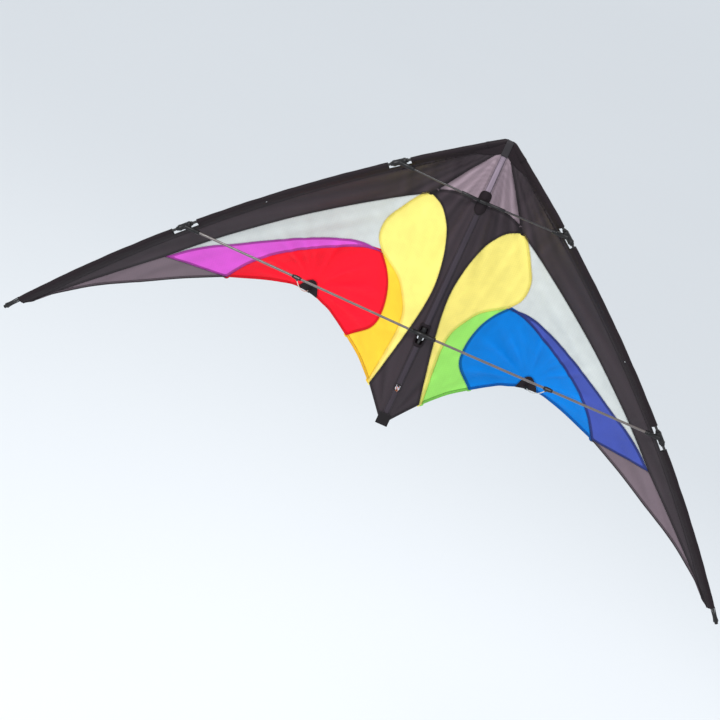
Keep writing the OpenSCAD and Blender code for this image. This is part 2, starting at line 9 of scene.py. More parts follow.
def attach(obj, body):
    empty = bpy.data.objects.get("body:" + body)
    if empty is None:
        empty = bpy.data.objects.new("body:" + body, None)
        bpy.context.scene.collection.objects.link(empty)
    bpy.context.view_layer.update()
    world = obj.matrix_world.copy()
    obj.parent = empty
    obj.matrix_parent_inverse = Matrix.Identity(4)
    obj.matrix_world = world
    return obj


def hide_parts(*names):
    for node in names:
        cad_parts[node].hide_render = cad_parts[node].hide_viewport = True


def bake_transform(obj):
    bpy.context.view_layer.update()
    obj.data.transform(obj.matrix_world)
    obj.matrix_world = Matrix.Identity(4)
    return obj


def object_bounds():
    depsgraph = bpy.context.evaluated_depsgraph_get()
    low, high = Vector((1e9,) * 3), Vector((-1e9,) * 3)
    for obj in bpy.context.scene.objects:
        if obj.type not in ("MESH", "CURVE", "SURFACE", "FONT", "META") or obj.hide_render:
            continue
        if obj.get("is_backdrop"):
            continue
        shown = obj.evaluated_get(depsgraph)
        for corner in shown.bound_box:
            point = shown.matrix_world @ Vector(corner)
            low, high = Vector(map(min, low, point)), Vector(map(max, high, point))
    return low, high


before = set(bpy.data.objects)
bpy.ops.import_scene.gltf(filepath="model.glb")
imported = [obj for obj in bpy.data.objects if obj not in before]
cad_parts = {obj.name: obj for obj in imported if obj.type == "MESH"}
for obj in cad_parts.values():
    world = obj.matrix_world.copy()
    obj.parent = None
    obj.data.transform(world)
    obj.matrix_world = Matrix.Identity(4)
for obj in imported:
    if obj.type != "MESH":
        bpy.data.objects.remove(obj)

CAD_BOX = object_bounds()
MM = 0.001

# ---------- the kite's lines, in millimetres: x from the spine, z up to the nose ----------

SPAN, NOSE_Z, TIP_Z, LEADING_R = 1700, 480, -318, 3850
SWEEP = math.radians(2)
BILLOW, SAIL_BACK, STAND_X, STAND_Z = 145, 4, 272, -76
ROD_R = LEADING_R - 5
SEAM_R = LEADING_R - 17
SLEEVE_X = (11, 850)
UPPER_X, LOWER_X = 196, 568
UPPER_WINDOW, LOWER_WINDOW = 52, 62
SPINE_SOFT, SPINE_FRONT, SPINE_REACH = 4.0, 4.7, 20
NOSE_FLAT, EDGE_FLAT = (15, 115), (0.93, 0.99)
LEAST_HALF, RIDGE_POWER, TIP_X = 8, 3, 832

half_chord = np.array([SPAN / 2, TIP_Z - NOSE_Z]) / 2
chord_l = np.linalg.norm(half_chord)
LEADING_C = (
    np.array([SPAN / 4, (NOSE_Z + TIP_Z) / 2])
    + np.array([half_chord[1], -half_chord[0]]) / chord_l * math.sqrt(LEADING_R**2 - chord_l**2)
)


def arc_z(x, radius):
    """Height of the leading edge's arc of that radius."""
    return LEADING_C[1] + np.sqrt(radius**2 - (x - LEADING_C[0]) ** 2)


TIP = (TIP_X, arc_z(TIP_X, SEAM_R))
# Seams and edges that smooth lines are drawn through.
POINTS = {
    "nose_base": [(0, 323), (10, 322), (63, 313), (97, 296)],
    "nose_side": [(13, 438), (97, 298)],
    "centre_yellow": [
        (112, 280), (86, 273), (66, 258), (46, 228), (30, 183), (20, 117), (22, 57), (33, -20),
        (48, -102), (62, -173),
    ],
    "yellow_silver": [(112, 280), (127, 270), (155, 222), (176, 176), (176, 132), (156, 101)],
    "yellow_green": [(156, 101), (105, 76), (79, 48), (60, 14), (55, -28), (59, -90), (67, -171)],
    "green_blue": [(156, 101), (129, 72), (110, 35), (101, -15), (109, -62), (154, -116)],
    "indigo_silver": [
        (156, 101), (210, 99), (270, 80), (334, 52), (400, 18), (466, -18), (502, -36), (544, -64),
        (587, -101),
    ],
    "indigo_blue": [
        (156, 101), (199, 88), (254, 60), (324, 20), (378, -19), (420, -63), (452, -113),
    ],
    "silver_black": [(112, 280), (217, 209), (349, 113), (460, 20), (523, -38), (587, -101)],
    "tip_black": [(587, -101), (668, -174), (765, -263), TIP],
    "centre_trailing": [(0, -224), (10, -222), (62, -173)],
    "yellow_trailing": [(62, -173), (67, -171)],
    "green_trailing": [(67, -171), (112, -137), (154, -116)],
    "blue_trailing": [(154, -116), (217, -90), (278, -76), (342, -81), (452, -113)],
    "tip_trailing": [(452, -113), (534, -148), (627, -194), (700, -230), (770, -276), TIP],
    "corner": [(97, 296), (112, 280)],
    "nose_top": [(0, 446), (13, 438)],
    "spine_nose": [(0, 323), (0, 446)],
    "indigo_tip": [(587, -101), (452, -113)],
}


def smooth(low, high, value):
    """0 below low, 1 above high, with a soft turn between."""
    t = np.clip((value - low) / (high - low), 0, 1)
    return t * t * (3 - 2 * t)


def curve(points, step=4.0):
    """A smooth line through points, with a point about every step."""
    p = np.array(points, float)
    padded = np.vstack([p[:1], p, p[-1:]])
    out = [p[0]]
    for k in range(len(p) - 1):
        a, b, c, d = padded[k:k + 4]
        n = max(1, round(np.linalg.norm(c - b) / step))
        for t in np.arange(1, n + 1) / n:
            out.append((2 * b + (c - a) * t + (2 * a - 5 * b + 4 * c - d) * t**2
                        + (3 * b - a - 3 * c + d) * t**3) / 2)
    return np.array(out)


def straight(a, b):
    return curve([a, b])


def distance(points, line):
    """Distance of each point from an open line."""
    best = np.full(len(points), 1e9)
    for a, b in zip(line[:-1], line[1:]):
        d = b - a
        t = np.clip((points - a) @ d / max(d @ d, 1e-9), 0, 1)
        best = np.minimum(best, np.linalg.norm(points - a - t[:, None] * d, axis=1))
    return best


def seam_x(z):
    return LEADING_C[0] + np.sqrt(SEAM_R**2 - (z - LEADING_C[1]) ** 2)


RIDGE = STAND_X / seam_x(STAND_Z)


def billow_y(x, z):
    """The sail's depth: two slopes that meet in a rounded ridge through the stand-off."""
    s = np.clip(x / np.maximum(seam_x(z), LEAST_HALF), 0.001, 0.999)
    inner, outer = s / RIDGE, (1 - s) / (1 - RIDGE)
    ease = inner * outer * (2 / (inner**RIDGE_POWER + outer**RIDGE_POWER)) ** (1 / RIDGE_POWER)
    below = NOSE_Z - z
    taut = smooth(*NOSE_FLAT, below) * below / (NOSE_Z - STAND_Z)
    return BILLOW * ease * taut + SAIL_BACK * s * smooth(0, 60, x)


def rays(x, z, centre, waves, start, full, fade, end):
    """Folds that fan out from a point, growing from start to full and gone at end."""
    dx, dz = x - centre[0], z - centre[1]
    r = np.hypot(dx, dz)
    a = np.arctan2(dx, dz)
    fold = sum(w * np.sin(f * a + p + 0.6 * np.sin(r / 37 + f)) for f, p, w in waves)
    return fold * smooth(start, full, r) * (1 - smooth(fade, end, r))


STAND_WAVES = [(13, 0.4, 0.6), (21, 2.1, 0.55), (34, 4.0, 0.3)]
NOSE_WAVES = [(24, 1.2, 0.55), (41, 0.3, 0.5), (57, 2.2, 0.2)]
# Angular waves of painted light and shade for the pleats that fan out from the nose; they change no
# shape.
PLEAT_SHADE_WAVES = [(24, 1.2, 0.35), (47, 0.3, 0.5), (79, 2.2, 0.4)]
TAIL_WAVES = [(17, 0.9, 0.6), (29, 2.4, 0.4)]


def streaks(x, z, angle, wavelength):
    """Long soft creases that run at one angle."""
    c, s = math.cos(angle), math.sin(angle)
    along, across = x * c + z * s, -x * s + z * c
    k = 2 * math.pi / wavelength
    return (np.sin(k * across + 1.3 * np.sin(along / 150)) + 0.6 * np.sin(
        1.83 * k * across + 2.0 + 1.1 * np.sin(along / 90 + 1)))


def folds(x, z):
    """Creases of the tensioned cloth, in front of or behind the smooth billow."""
    y = 2.2 * rays(x, z, (STAND_X, -58), STAND_WAVES, 14, 70, 95, 210)
    y = y + 2.4 * rays(x, z, (0, 468), NOSE_WAVES, 35, 170, 240, 460) * smooth(6, 18, x)
    y = y + 1.6 * rays(x, z, (0, -232), TAIL_WAVES, 20, 90, 140, 260) * smooth(8, 26, x)
    wing = smooth(120, 220, x) * (1 - smooth(560, 700, x))
    y = y + 0.9 * streaks(x, z, math.radians(-38), 58) * wing
    y = y + 0.6 * streaks(x, z, math.radians(78), 44) * smooth(40, 90, x) * (
        1 - smooth(170, 230, x)) * smooth(-20, 90, z)
    tip = smooth(560, 640, x)
    return y + 0.6 * streaks(x, z, math.radians(-48), 30) * tip


def crease_shading(x, z):
    """Painted light and shade along the cloth's creases and the pleats at the nose, multiplied into
    its colour.
    """
    pleat_shade = rays(x, z, (0, 466), PLEAT_SHADE_WAVES, 12, 50, 150, 420)
    return 0.8 * pleat_shade - folds(x, z) / 3


def sail_y(x, z):
    """Depth of the cloth, which runs over the front of the spine."""
    x, z = np.asarray(x, float), np.asarray(z, float)
    inner = np.sqrt(x**2 + SPINE_SOFT**2) - SPINE_SOFT
    edge = 1 - smooth(*EDGE_FLAT, x / np.maximum(seam_x(z), LEAST_HALF))
    spine = SPINE_FRONT * np.exp(-((x / SPINE_REACH) ** 2))
    return billow_y(inner, z) + folds(x, z) * edge - spine


# ---------- meshes ----------

SIDES = {"right": 1, "left": -1}


def place(points, side):
    """Turns wing coordinates in millimetres into the frame's, in metres."""
    p = np.asarray(points, float)
    c, s = math.cos(SWEEP), math.sin(SWEEP)
    x, y = p[:, 0] * c - p[:, 1] * s, p[:, 0] * s + p[:, 1] * c
    return np.stack([x * SIDES[side], y, p[:, 2]], 1) * MM


def mesh_object(name, points, faces, material, uv=None, turned=False, **values):
    """An object from points in metres. uv and the named values are one per point."""
    me = bpy.data.meshes.new(name)
    me.from_pydata(
        [tuple(p) for p in points], [], [tuple(f[::-1]) if turned else tuple(f) for f in faces])
    me.materials.append(material)
    me.polygons.foreach_set("use_smooth", [True] * len(me.polygons))
    index = np.zeros(len(me.loops), np.int32)
    me.loops.foreach_get("vertex_index", index)
    layer = me.uv_layers.new(name="UVMap")
    flat = np.asarray(uv if uv is not None else np.asarray(points)[:, [0, 2]], np.float32)
    layer.data.foreach_set("uv", flat[index].ravel())
    for key, value in values.items():
        me.attributes.new(key, "FLOAT", "POINT").data.foreach_set(
            "value", np.asarray(value, np.float32))
    me.update()
    o = bpy.data.objects.new(name, me)
    bpy.context.scene.collection.objects.link(o)
    return o


def inside(points, loop):
    """True for each point inside a closed outline."""
    found = np.zeros(len(points), bool)
    x, z = points[:, 0], points[:, 1]
    for (x0, z0), (x1, z1) in zip(loop, np.roll(loop, -1, axis=0)):
        if z0 != z1:
            cuts = (z0 > z) != (z1 > z)
            found ^= cuts & (x < (x1 - x0) * (z - z0) / (z1 - z0) + x0)
    return found


def fill(loop, step, holes=()):
    """Points and triangles of an even mesh inside a closed outline."""
    loops = [loop, *holes]
    low, high = loop.min(0), loop.max(0)
    rows = np.arange(low[1] + step / 2, high[1], step * 0.866)
    grid = np.array([
        (x, z) for i, z in enumerate(rows)
        for x in np.arange(low[0] + step * (0.5 if i % 2 else 1.0), high[0], step)])
    keep = inside(grid, loop)
    for one in loops:
        keep &= distance(grid, np.vstack([one, one[:1]])) > step * 0.5
    for hole in holes:
        keep &= ~inside(grid, hole)
    points = np.vstack([*loops, grid[keep]])
    edges, start = [], 0
    for one in loops:
        n = len(one)
        edges += [(start + i, start + (i + 1) % n) for i in range(n)]
        start += n
    points, _, faces, _, _, _ = delaunay_2d_cdt(
        [Vector(p) for p in points], edges, [], 1, 1e-5)
    points = np.array([tuple(p) for p in points])
    middles = np.array([points[list(f)].mean(0) for f in faces])
    wanted = np.ones(len(faces), bool)
    for hole in holes:
        wanted &= ~inside(middles, hole)
    return points, [f for f, w in zip(faces, wanted) if w]


def grown(loop, by):
    """An outline moved out by a distance."""
    ahead, behind = np.roll(loop, -1, axis=0), np.roll(loop, 1, axis=0)
    t = ahead - behind
    t /= np.maximum(np.linalg.norm(t, axis=1), 1e-9)[:, None]
    area = (loop[:, 0] * ahead[:, 1] - ahead[:, 0] * loop[:, 1]).sum() / 2
    out = np.stack([t[:, 1], -t[:, 0]], 1) * (1 if area > 0 else -1)
    return loop + out * by


def area_of(loop):
    ahead = np.roll(loop, -1, axis=0)
    return abs((loop[:, 0] * ahead[:, 1] - ahead[:, 0] * loop[:, 1]).sum() / 2)


def cut_size(loop):
    """Width and length of the smallest rectangle that an outline is cut from."""
    sizes = []
    for a in np.radians(np.arange(0, 90, 2)):
        turn = np.array([[math.cos(a), -math.sin(a)], [math.sin(a), math.cos(a)]])
        sizes.append(np.ptp(loop @ turn, axis=0))
    return sorted(min(sizes, key=lambda s: s[0] * s[1]))


def unrolled(loop, surface=billow_y):
    """An outline laid out flat: x becomes the length of the surface y(x, z) from the spine."""
    steps = np.linspace(0, 1, 61)
    x = np.abs(loop[:, :1]) * steps
    y = surface(x, np.repeat(loop[:, 1:], len(steps), axis=1))
    run = np.hypot(np.diff(x, axis=1), np.diff(y, axis=1)).sum(1)
    return np.stack([run * np.sign(loop[:, 0]), loop[:, 1]], 1)


def declare_sheet(piece, loop, holes=()):
    """Works out the width, length and area of the flat piece that this cloth was cut from, and does
    nothing more with them.
    """
    width, length = cut_size(loop)
    area = min(area_of(loop), width * length) - sum(area_of(hole) for hole in holes)


def quads(rows, n, ring=True, closed=False):
    """Faces between rows of n points. Each row can be a ring, and the last can meet the first."""
    faces = []
    for i in range(rows if closed else rows - 1):
        for k in range(n if ring else n - 1):
            m, j = (k + 1) % n, (i + 1) % rows
            faces.append((i * n + k, i * n + m, j * n + m, j * n + k))
    return faces


def end_caps(rows, n):
    return [tuple(range(n - 1, -1, -1)), tuple((rows - 1) * n + k for k in range(n))]


def tube(points, radius, sides=4, closed=False):
    """A round tube along a line. A shape is its points and its faces."""
    p = np.asarray(points, float)
    if closed:
        t = np.roll(p, -1, axis=0) - np.roll(p, 1, axis=0)
    else:
        t = np.gradient(p, axis=0)
    t /= np.maximum(np.linalg.norm(t, axis=1), 1e-12)[:, None]
    normal = np.cross(t[0], [0.31, 0.9, 0.3])
    rings = []
    for at, way in zip(p, t):
        normal = normal - (normal @ way) * way
        normal /= np.linalg.norm(normal)
        side = np.cross(way, normal)
        for k in range(sides):
            a = 2 * math.pi * k / sides
            rings.append(at + radius * (math.cos(a) * normal + math.sin(a) * side))
    return rings, quads(len(p), sides, closed=closed) + ([] if closed else end_caps(len(p), sides))


def joined(shapes):
    """Several shapes as one."""
    points, faces = [], []
    for more, between in shapes:
        start = len(points)
        points += [tuple(p) for p in more]
        faces += [tuple(start + i for i in f) for f in between]
    return points, faces


CLOTH_RIM = 0.25


def layered(loop, step, front, back, holes=()):
    """A closed layer of cloth between two surfaces y(x, z), with softened rims."""
    flat, faces = fill(loop, step, holes)
    n = len(flat)
    x, z = flat[:, 0], flat[:, 1]
    ends = [loop, *holes]
    rim = sum(len(e) for e in ends)
    y0, y1 = front(x, z), back(x, z)
    thick = np.abs(y1 - y0)
    near = np.arange(n) < rim
    soft = np.where(near, np.minimum(CLOTH_RIM, thick * 0.35), 0)
    points = np.vstack([np.stack([x, y0 + soft, z], 1), np.stack([x, y1 - soft, z], 1)])
    solid = [tuple(f) for f in faces] + [tuple(n + i for i in f[::-1]) for f in faces]
    start = 0
    for k, one in enumerate(ends):
        m = len(one)
        ahead = np.roll(one, -1, axis=0)
        turn = (one[:, 0] * ahead[:, 1] - ahead[:, 0] * one[:, 1]).sum() > 0
        if k:
            turn = not turn
        for i in range(m):
            a, b = start + i, start + (i + 1) % m
            solid.append((b, a, n + a, n + b) if turn else (a, b, n + b, n + a))
        start += m
    return points, solid, np.vstack([flat, flat])


def unit(v):
    return np.asarray(v, float) / np.linalg.norm(v)


def lathe(profile, origin, axis, sides=28):
    """Turns a closed profile of (along, radius) points about an axis."""
    axis = unit(axis)
    across = unit(np.cross(axis, [0.2, 0.1, 0.97] if abs(axis[2]) < 0.9 else [1, 0, 0]))
    up = np.cross(axis, across)
    angles = np.linspace(0, 2 * math.pi, sides, endpoint=False)
    points = [np.asarray(origin) + t * axis + r * (math.cos(a) * across + math.sin(a) * up)
              for t, r in profile for a in angles]
    return points, quads(len(profile), sides, closed=True)


def sleeve_profile(length, radius, bore, ribs=(), soft=1.0):
    """Outside and bore of a moulded sleeve with rounded ends and raised ribs."""
    turn = np.radians([0, 22, 45, 68, 90])
    outer = [(soft * (1 - math.cos(a)), radius - soft + soft * math.sin(a)) for a in turn]
    for middle in ribs:
        for d, h in ((-1.5, 0), (-1.0, 0.4), (-0.5, 0.5), (0.5, 0.5), (1.0, 0.4), (1.5, 0)):
            outer.append((middle + d, radius + h))
    outer += [(length - t, r) for t, r in outer[:5][::-1]]
    return outer + [(length - 0.3, bore), (0.3, bore)]


# ---------- materials ----------

RIPSTOP_CELL, RIPSTOP_THREAD, CLOTH_THREAD = 0.005, 0.0006, 0.0011
# Distances from a panel's free edge over which the painted seam shade fades out, in metres.
SEAM_SHADE_BAND = (0.0056, 0.0066)


def srgb(*colour):
    """A colour in 0 to 255 as Blender's linear one."""
    return (*[v / 255 / 12.92 if v <= 10 else ((v / 255 + 0.055) / 1.055) ** 2.4
              for v in colour], 1.0)


class Graph:
    """One material's nodes."""

    def __init__(self, name):
        self.material = bpy.data.materials.new(name)
        self.material.use_nodes = True
        self.tree = self.material.node_tree
        self.tree.nodes.clear()

    def node(self, kind, inputs=None, **settings):
        n = self.tree.nodes.new("ShaderNode" + kind)
        for key, value in settings.items():
            setattr(n, key, value)
        for key, value in (inputs or {}).items():
            if isinstance(value, bpy.types.NodeSocket):
                self.tree.links.new(value, n.inputs[key])
            else:
                n.inputs[key].default_value = value
        return n

    def math(self, operation, a, b):
        return self.node("Math", {0: a, 1: b}, operation=operation).outputs[0]

    def product(self, first, *others):
        for other in others:
            first = self.math("MULTIPLY", first, other)
        return first

    def ramp(self, value, low, high, to_low, to_high):
        return self.node(
            "MapRange", {0: value, 1: low, 2: high, 3: to_low, 4: to_high},
            interpolation_type="SMOOTHSTEP").outputs[0]

    def vary(self, noise, to_low, to_high):
        """A noise, which lies mostly between 0.3 and 0.7, turned into another range."""
        return self.ramp(noise, 0.3, 0.7, to_low, to_high)

    def noise(self, vector, scale, detail=2.0, distortion=0.0):
        return self.node(
            "TexNoise",
            {"Vector": vector, "Scale": scale, "Detail": detail, "Distortion": distortion},
        ).outputs["Fac"]

    def scaled(self, vector, factor):
        vector = vector if isinstance(vector, bpy.types.NodeSocket) else vector[:3]
        return self.node("VectorMath", {0: vector, "Scale": factor}, operation="SCALE").outputs[0]

    def attribute(self, name):
        return self.node("Attribute", attribute_name=name).outputs["Fac"]

    def ribs(self, uv, size):
        """Distance from the nearest thread line each way, in threads of that size."""
        split = self.node("SeparateXYZ", {0: self.scaled(uv, 1 / size)})
        return [self.math("PINGPONG", split.outputs[i], 0.5) for i in (0, 1)]

    def bump(self, height, strength, distance, normal=None):
        inputs = {"Height": height, "Strength": strength, "Distance": distance}
        if normal is not None:
            inputs["Normal"] = normal
        return self.node("Bump", inputs).outputs[0]

    def finish(self, surface):
        output = self.node("OutputMaterial")
        self.tree.links.new(surface.outputs[0], output.inputs["Surface"])
        return self.material


def ripstop(name, colour, through=0.35, roughness=0.5, seam_shade=0.78, crease=0.1, sheen=0.0):
    """Sail cloth: a fine woven grid, soft crinkles, painted light and shade along the creases, and
    painted shade on the doubled cloth at each seam, set by a factor per cloth.
    """
    g = Graph(name)
    uv = g.node("UVMap", uv_map="UVMap").outputs[0]
    cells = g.ribs(uv, RIPSTOP_CELL)
    grid = g.math("MAXIMUM", *[g.ramp(rib, 0.02, 0.1, 1.0, 0.0) for rib in cells])
    weave = g.node("TexChecker", {"Vector": g.scaled(uv, 1 / RIPSTOP_THREAD), "Scale": 1.0})
    crinkle = g.noise(uv, 38.0, 5.0, 0.7)
    # Painted shade where the cloth is doubled at a seam, scaled by a factor per cloth, standing in
    # for the light that two layers let through.
    seam_band_shade = g.ramp(g.attribute("edge"), *SEAM_SHADE_BAND, 1.0, 0.0)
    shade = g.product(
        g.math("SUBTRACT", 1.0, g.math("MULTIPLY", grid, 0.07)),
        # Painted light and shade along the creases, from each point's painted crease value.
        g.math("ADD", 1.0, g.math("MULTIPLY", g.attribute("crease"), crease)),
        g.vary(g.noise(uv, 9.0, 3.0), 0.95, 1.04),
        g.vary(crinkle, 0.97, 1.02),
        g.math("SUBTRACT", 1.0, g.math("MULTIPLY", seam_band_shade, 1 - seam_shade)))
    shown = g.scaled(srgb(*colour), shade)
    normal = g.bump(weave.outputs["Fac"], 0.08, 0.00004)
    normal = g.bump(grid, 0.35, 0.00012, normal)
    normal = g.bump(crinkle, 0.35, 0.0016, normal)
    surface = g.node("BsdfPrincipled", {
        "Base Color": shown, "Roughness": g.vary(crinkle, roughness - 0.05, roughness + 0.08),
        "Normal": normal,
        "Specular IOR Level": 0.22, "Sheen Weight": sheen, "Sheen Roughness": 0.4})
    behind = g.node("BsdfTranslucent", {"Color": shown, "Normal": normal})
    return g.finish(g.node("MixShader", {0: through, 1: surface.outputs[0], 2: behind.outputs[0]}))


def heavy_cloth(name, colour, roughness=0.62):
    """Close-woven polyester of the sleeves and reinforcements."""
    g = Graph(name)
    uv = g.node("UVMap", uv_map="UVMap").outputs[0]
    weave = g.product(*g.ribs(uv, CLOTH_THREAD))
    soft = g.noise(uv, 14.0, 4.0, 0.4)
    shade = g.product(g.ramp(weave, 0.0, 0.25, 0.82, 1.12), g.vary(soft, 0.9, 1.12))
    normal = g.bump(weave, 0.4, 0.0001)
    return g.finish(g.node("BsdfPrincipled", {
        "Base Color": g.scaled(srgb(*colour), shade),
        "Normal": g.bump(g.noise(uv, 60.0, 4.0, 0.5), 0.4, 0.001, normal),
        "Roughness": g.vary(soft, roughness - 0.08, roughness + 0.06),
        "Specular IOR Level": 0.15, "Sheen Weight": 0.03, "Sheen Roughness": 0.4}))


def tube_finish(name, colour, roughness=0.32, grain=(40, 2500, 2500)):
    """Pultruded tube: fine fibres along its length under a thin gloss."""
    g = Graph(name)
    where = g.node("TexCoord").outputs["Object"]
    stretched = g.node("VectorMath", {0: where, 1: grain}, operation="MULTIPLY").outputs[0]
    fibre = g.noise(stretched, 1.0, 3.0)
    shade = g.product(g.vary(fibre, 0.78, 1.2), g.vary(g.noise(where, 30.0, 2.0), 0.92, 1.08))
    return g.finish(g.node("BsdfPrincipled", {
        "Base Color": g.scaled(srgb(*colour), shade),
        "Roughness": g.vary(fibre, roughness - 0.06, roughness + 0.1),
        "Normal": g.bump(fibre, 0.2, 0.00006), "Coat Weight": 0.3, "Coat Roughness": 0.12}))


def moulded(name, colour):
    """Moulded nylon or rubber, with a fine spark-eroded grain and rubbed edges."""
    g = Graph(name)
    where = g.node("TexCoord").outputs["Object"]
    soft = g.noise(where, 160.0, 3.0)
    rubbed = g.ramp(g.node("NewGeometry").outputs["Pointiness"], 0.52, 0.62, 0.0, 0.6)
    shade = g.product(g.vary(soft, 0.85, 1.15), g.math("ADD", 1.0, rubbed))
    return g.finish(g.node("BsdfPrincipled", {
        "Base Color": g.scaled(srgb(*colour), shade),
        "Roughness": g.vary(soft, 0.37, 0.54),
        "Normal": g.bump(g.noise(where, 2600.0, 2.0), 0.25, 0.00008), "Specular IOR Level": 0.35}))


def thread(name, colour, fleck=None):
    """Spun thread or braided line, with a second colour in the braid if it has one."""
    g = Graph(name)
    where = g.node("TexCoord").outputs["Object"]
    twist = g.noise(where, 3000.0, 2.0)
    patches = g.ramp(g.noise(where, 420.0, 1.0), 0.48, 0.54, 0.0, 1.0)
    mixed = g.node("MixRGB", {0: patches, 1: srgb(*colour), 2: srgb(*(fleck or colour))})
    return g.finish(g.node("BsdfPrincipled", {
        "Base Color": g.scaled(mixed.outputs[0], g.vary(twist, 0.75, 1.2)),
        "Roughness": 0.65, "Normal": g.bump(twist, 0.3, 0.0001), "Specular IOR Level": 0.2}))


# Among each cloth's keyword arguments are the strength of its painted seam shade and of its painted
# crease light and shade.
BLACK = ripstop("black_ripstop", (55, 46, 51), 0.12, 0.5, seam_shade=0.66, crease=0.42, sheen=0.06)
MAUVE = ripstop("mauve_ripstop", (146, 128, 137), 0.28, seam_shade=0.75, crease=0.32)
SLATE = ripstop("slate_ripstop", (118, 102, 110), 0.2, seam_shade=0.6, crease=0.2)
SILVER = ripstop("silver_ripstop", (208, 212, 210), seam_shade=0.9, crease=0.05)
YELLOW = ripstop("yellow_ripstop", (255, 238, 128), 0.4, seam_shade=1.04, crease=0.04)
ORANGE = ripstop("orange_ripstop", (255, 210, 58), 0.4, seam_shade=0.88, crease=0.06)
GREEN = ripstop("green_ripstop", (160, 236, 108), 0.4, seam_shade=0.8, crease=0.06)
RED = ripstop("red_ripstop", (255, 22, 46), 0.4, seam_shade=0.8, crease=0.08)
BLUE = ripstop("blue_ripstop", (0, 125, 216), 0.4, seam_shade=0.74, crease=0.08)
MAGENTA = ripstop("magenta_ripstop", (228, 92, 216), 0.4, seam_shade=0.7, crease=0.08)
INDIGO = ripstop("indigo_ripstop", (68, 84, 172), seam_shade=0.62, crease=0.08)
SLEEVE = heavy_cloth("black_sleeve_cloth", (36, 28, 32))
WEBBING = heavy_cloth("black_webbing", (36, 33, 35), 0.7)
# A lighter grey copy of the black webbing for the strap over the nose: a painted sheen.
NOSE_WEBBING_SHEEN = heavy_cloth("webbing_painted_sheen", (54, 51, 54), 0.7)
LEADING_TUBE = tube_finish("black_tube", (34, 32, 32), grain=(2500, 2500, 40))
SPREADER_TUBE = tube_finish("grey_tube", (102, 94, 92), 0.3)
UPPER_TUBE = tube_finish("dark_tube", (46, 42, 43), 0.28)
SPINE_TUBE = tube_finish("spine_tube_finish", (34, 32, 32), grain=(2500, 2500, 40))
FIBREGLASS = tube_finish("fibreglass_rod", (226, 220, 206), 0.35, (2500, 2500, 2500))
FERRULE = tube_finish("ferrule_finish", (150, 150, 152), 0.3)
FITTING = moulded("black_fitting", (22, 21, 22))
BLACK_THREAD = thread("black_thread", (26, 24, 26))
TIE_LINE = thread("tie_line_finish", (222, 128, 66), (168, 196, 226))
ELASTIC = thread("elastic_finish", (44, 42, 45))

# ---------- sail ----------

PANEL_STEP, LAP, LAYER, NOTCH_CORNER = 5.0, 6.0, 0.25, 2.5

LINES = {name: curve(points) for name, points in POINTS.items()}


def notch(x, low, high):
    """Half of a rounded window in the cloth, open to the spine."""
    r, turn = NOTCH_CORNER, np.radians(np.linspace(0, 90, 5))
    return np.vstack([
        [(0, low), (x / 2, low)],
        np.stack([x - r + r * np.sin(turn), low + r - r * np.cos(turn)], 1),
        np.stack([x - r + r * np.cos(turn), high - r + r * np.sin(turn)], 1),
        [(x / 2, high), (0, high)]])


TEE_NOTCH, TIE_NOTCH = (8.0, -25, 17), (4.6, -143, -131)
LINES["spine_centre"] = np.vstack([
    straight((0, -224), (0, TIE_NOTCH[1]))[:-1], notch(*TIE_NOTCH),
    straight((0, TIE_NOTCH[2]), (0, TEE_NOTCH[1]))[1:-1], notch(*TEE_NOTCH),
    straight((0, TEE_NOTCH[2]), (0, 323))[1:]])
arc_x = np.linspace(16, TIP[0], 240)
LINES["leading_seam"] = np.stack([arc_x, arc_z(arc_x, SEAM_R)], 1)
LINES["nose_corner"] = straight((13, 438), tuple(LINES["leading_seam"][0]))


def loop_of(*names):
    """A closed outline from named lines; a minus sign turns a line round."""
    lines = [LINES[n[1:]][::-1] if n[0] == "-" else LINES[n] for n in names]
    return np.vstack([line[:-1] for line in lines])


# Each panel's number of layers in front of the sail's own surface, and its outline.
PANELS = {
    "nose": (2, ("nose_base", "-nose_side", "-nose_top", "-spine_nose")),
    "centre": (4, ("nose_base", "corner", "centre_yellow", "-centre_trailing", "spine_centre")),
    "yellow": (2, ("centre_yellow", "yellow_trailing", "-yellow_green", "-yellow_silver")),
    "crescent": (0, ("yellow_green", "green_trailing", "-green_blue")),
    "flame": (1, ("green_blue", "blue_trailing", "-indigo_blue")),
    "sweep": (2, ("indigo_silver", "indigo_tip", "-indigo_blue")),
    "silver": (0, ("silver_black", "-indigo_silver", "-yellow_silver")),
    "leading_edge": (3, ("leading_seam", "-tip_black", "-silver_black", "-corner",
                         "-nose_side", "nose_corner")),
    "tip": (1, ("tip_black", "-tip_trailing", "-indigo_tip")),
}
# The panel that lies in front at each seam.
SEAM_TOP = {
    "nose_base": "centre", "nose_side": "leading_edge", "corner": "centre",
    "centre_yellow": "centre", "yellow_silver": "yellow", "yellow_green": "yellow",
    "green_blue": "flame", "indigo_silver": "sweep", "indigo_blue": "sweep",
    "indigo_tip": "sweep", "silver_black": "leading_edge", "tip_black": "leading_edge",
}
CLOTHS = {
    "left": {"nose": ("nose", MAUVE, "nose_fabric"), "centre": ("centre", BLACK, "black_fabric"),
             "yellow": ("yellow", YELLOW, "yellow_fabric"),
             "crescent": ("orange", ORANGE, "orange_fabric"),
             "flame": ("red", RED, "red_fabric"), "sweep": ("magenta", MAGENTA, "magenta_fabric"),
             "silver": ("silver", SILVER, "silver_fabric"),
             "leading_edge": ("leading_edge", BLACK, "black_fabric"),
             "tip": ("tip", SLATE, "tip_fabric")},
}
CLOTHS["right"] = {**CLOTHS["left"], "crescent": ("green", GREEN, "green_fabric"),
                   "flame": ("blue", BLUE, "blue_fabric"),
                   "sweep": ("indigo", INDIGO, "indigo_fabric")}
BLEND_X = (10, 36)


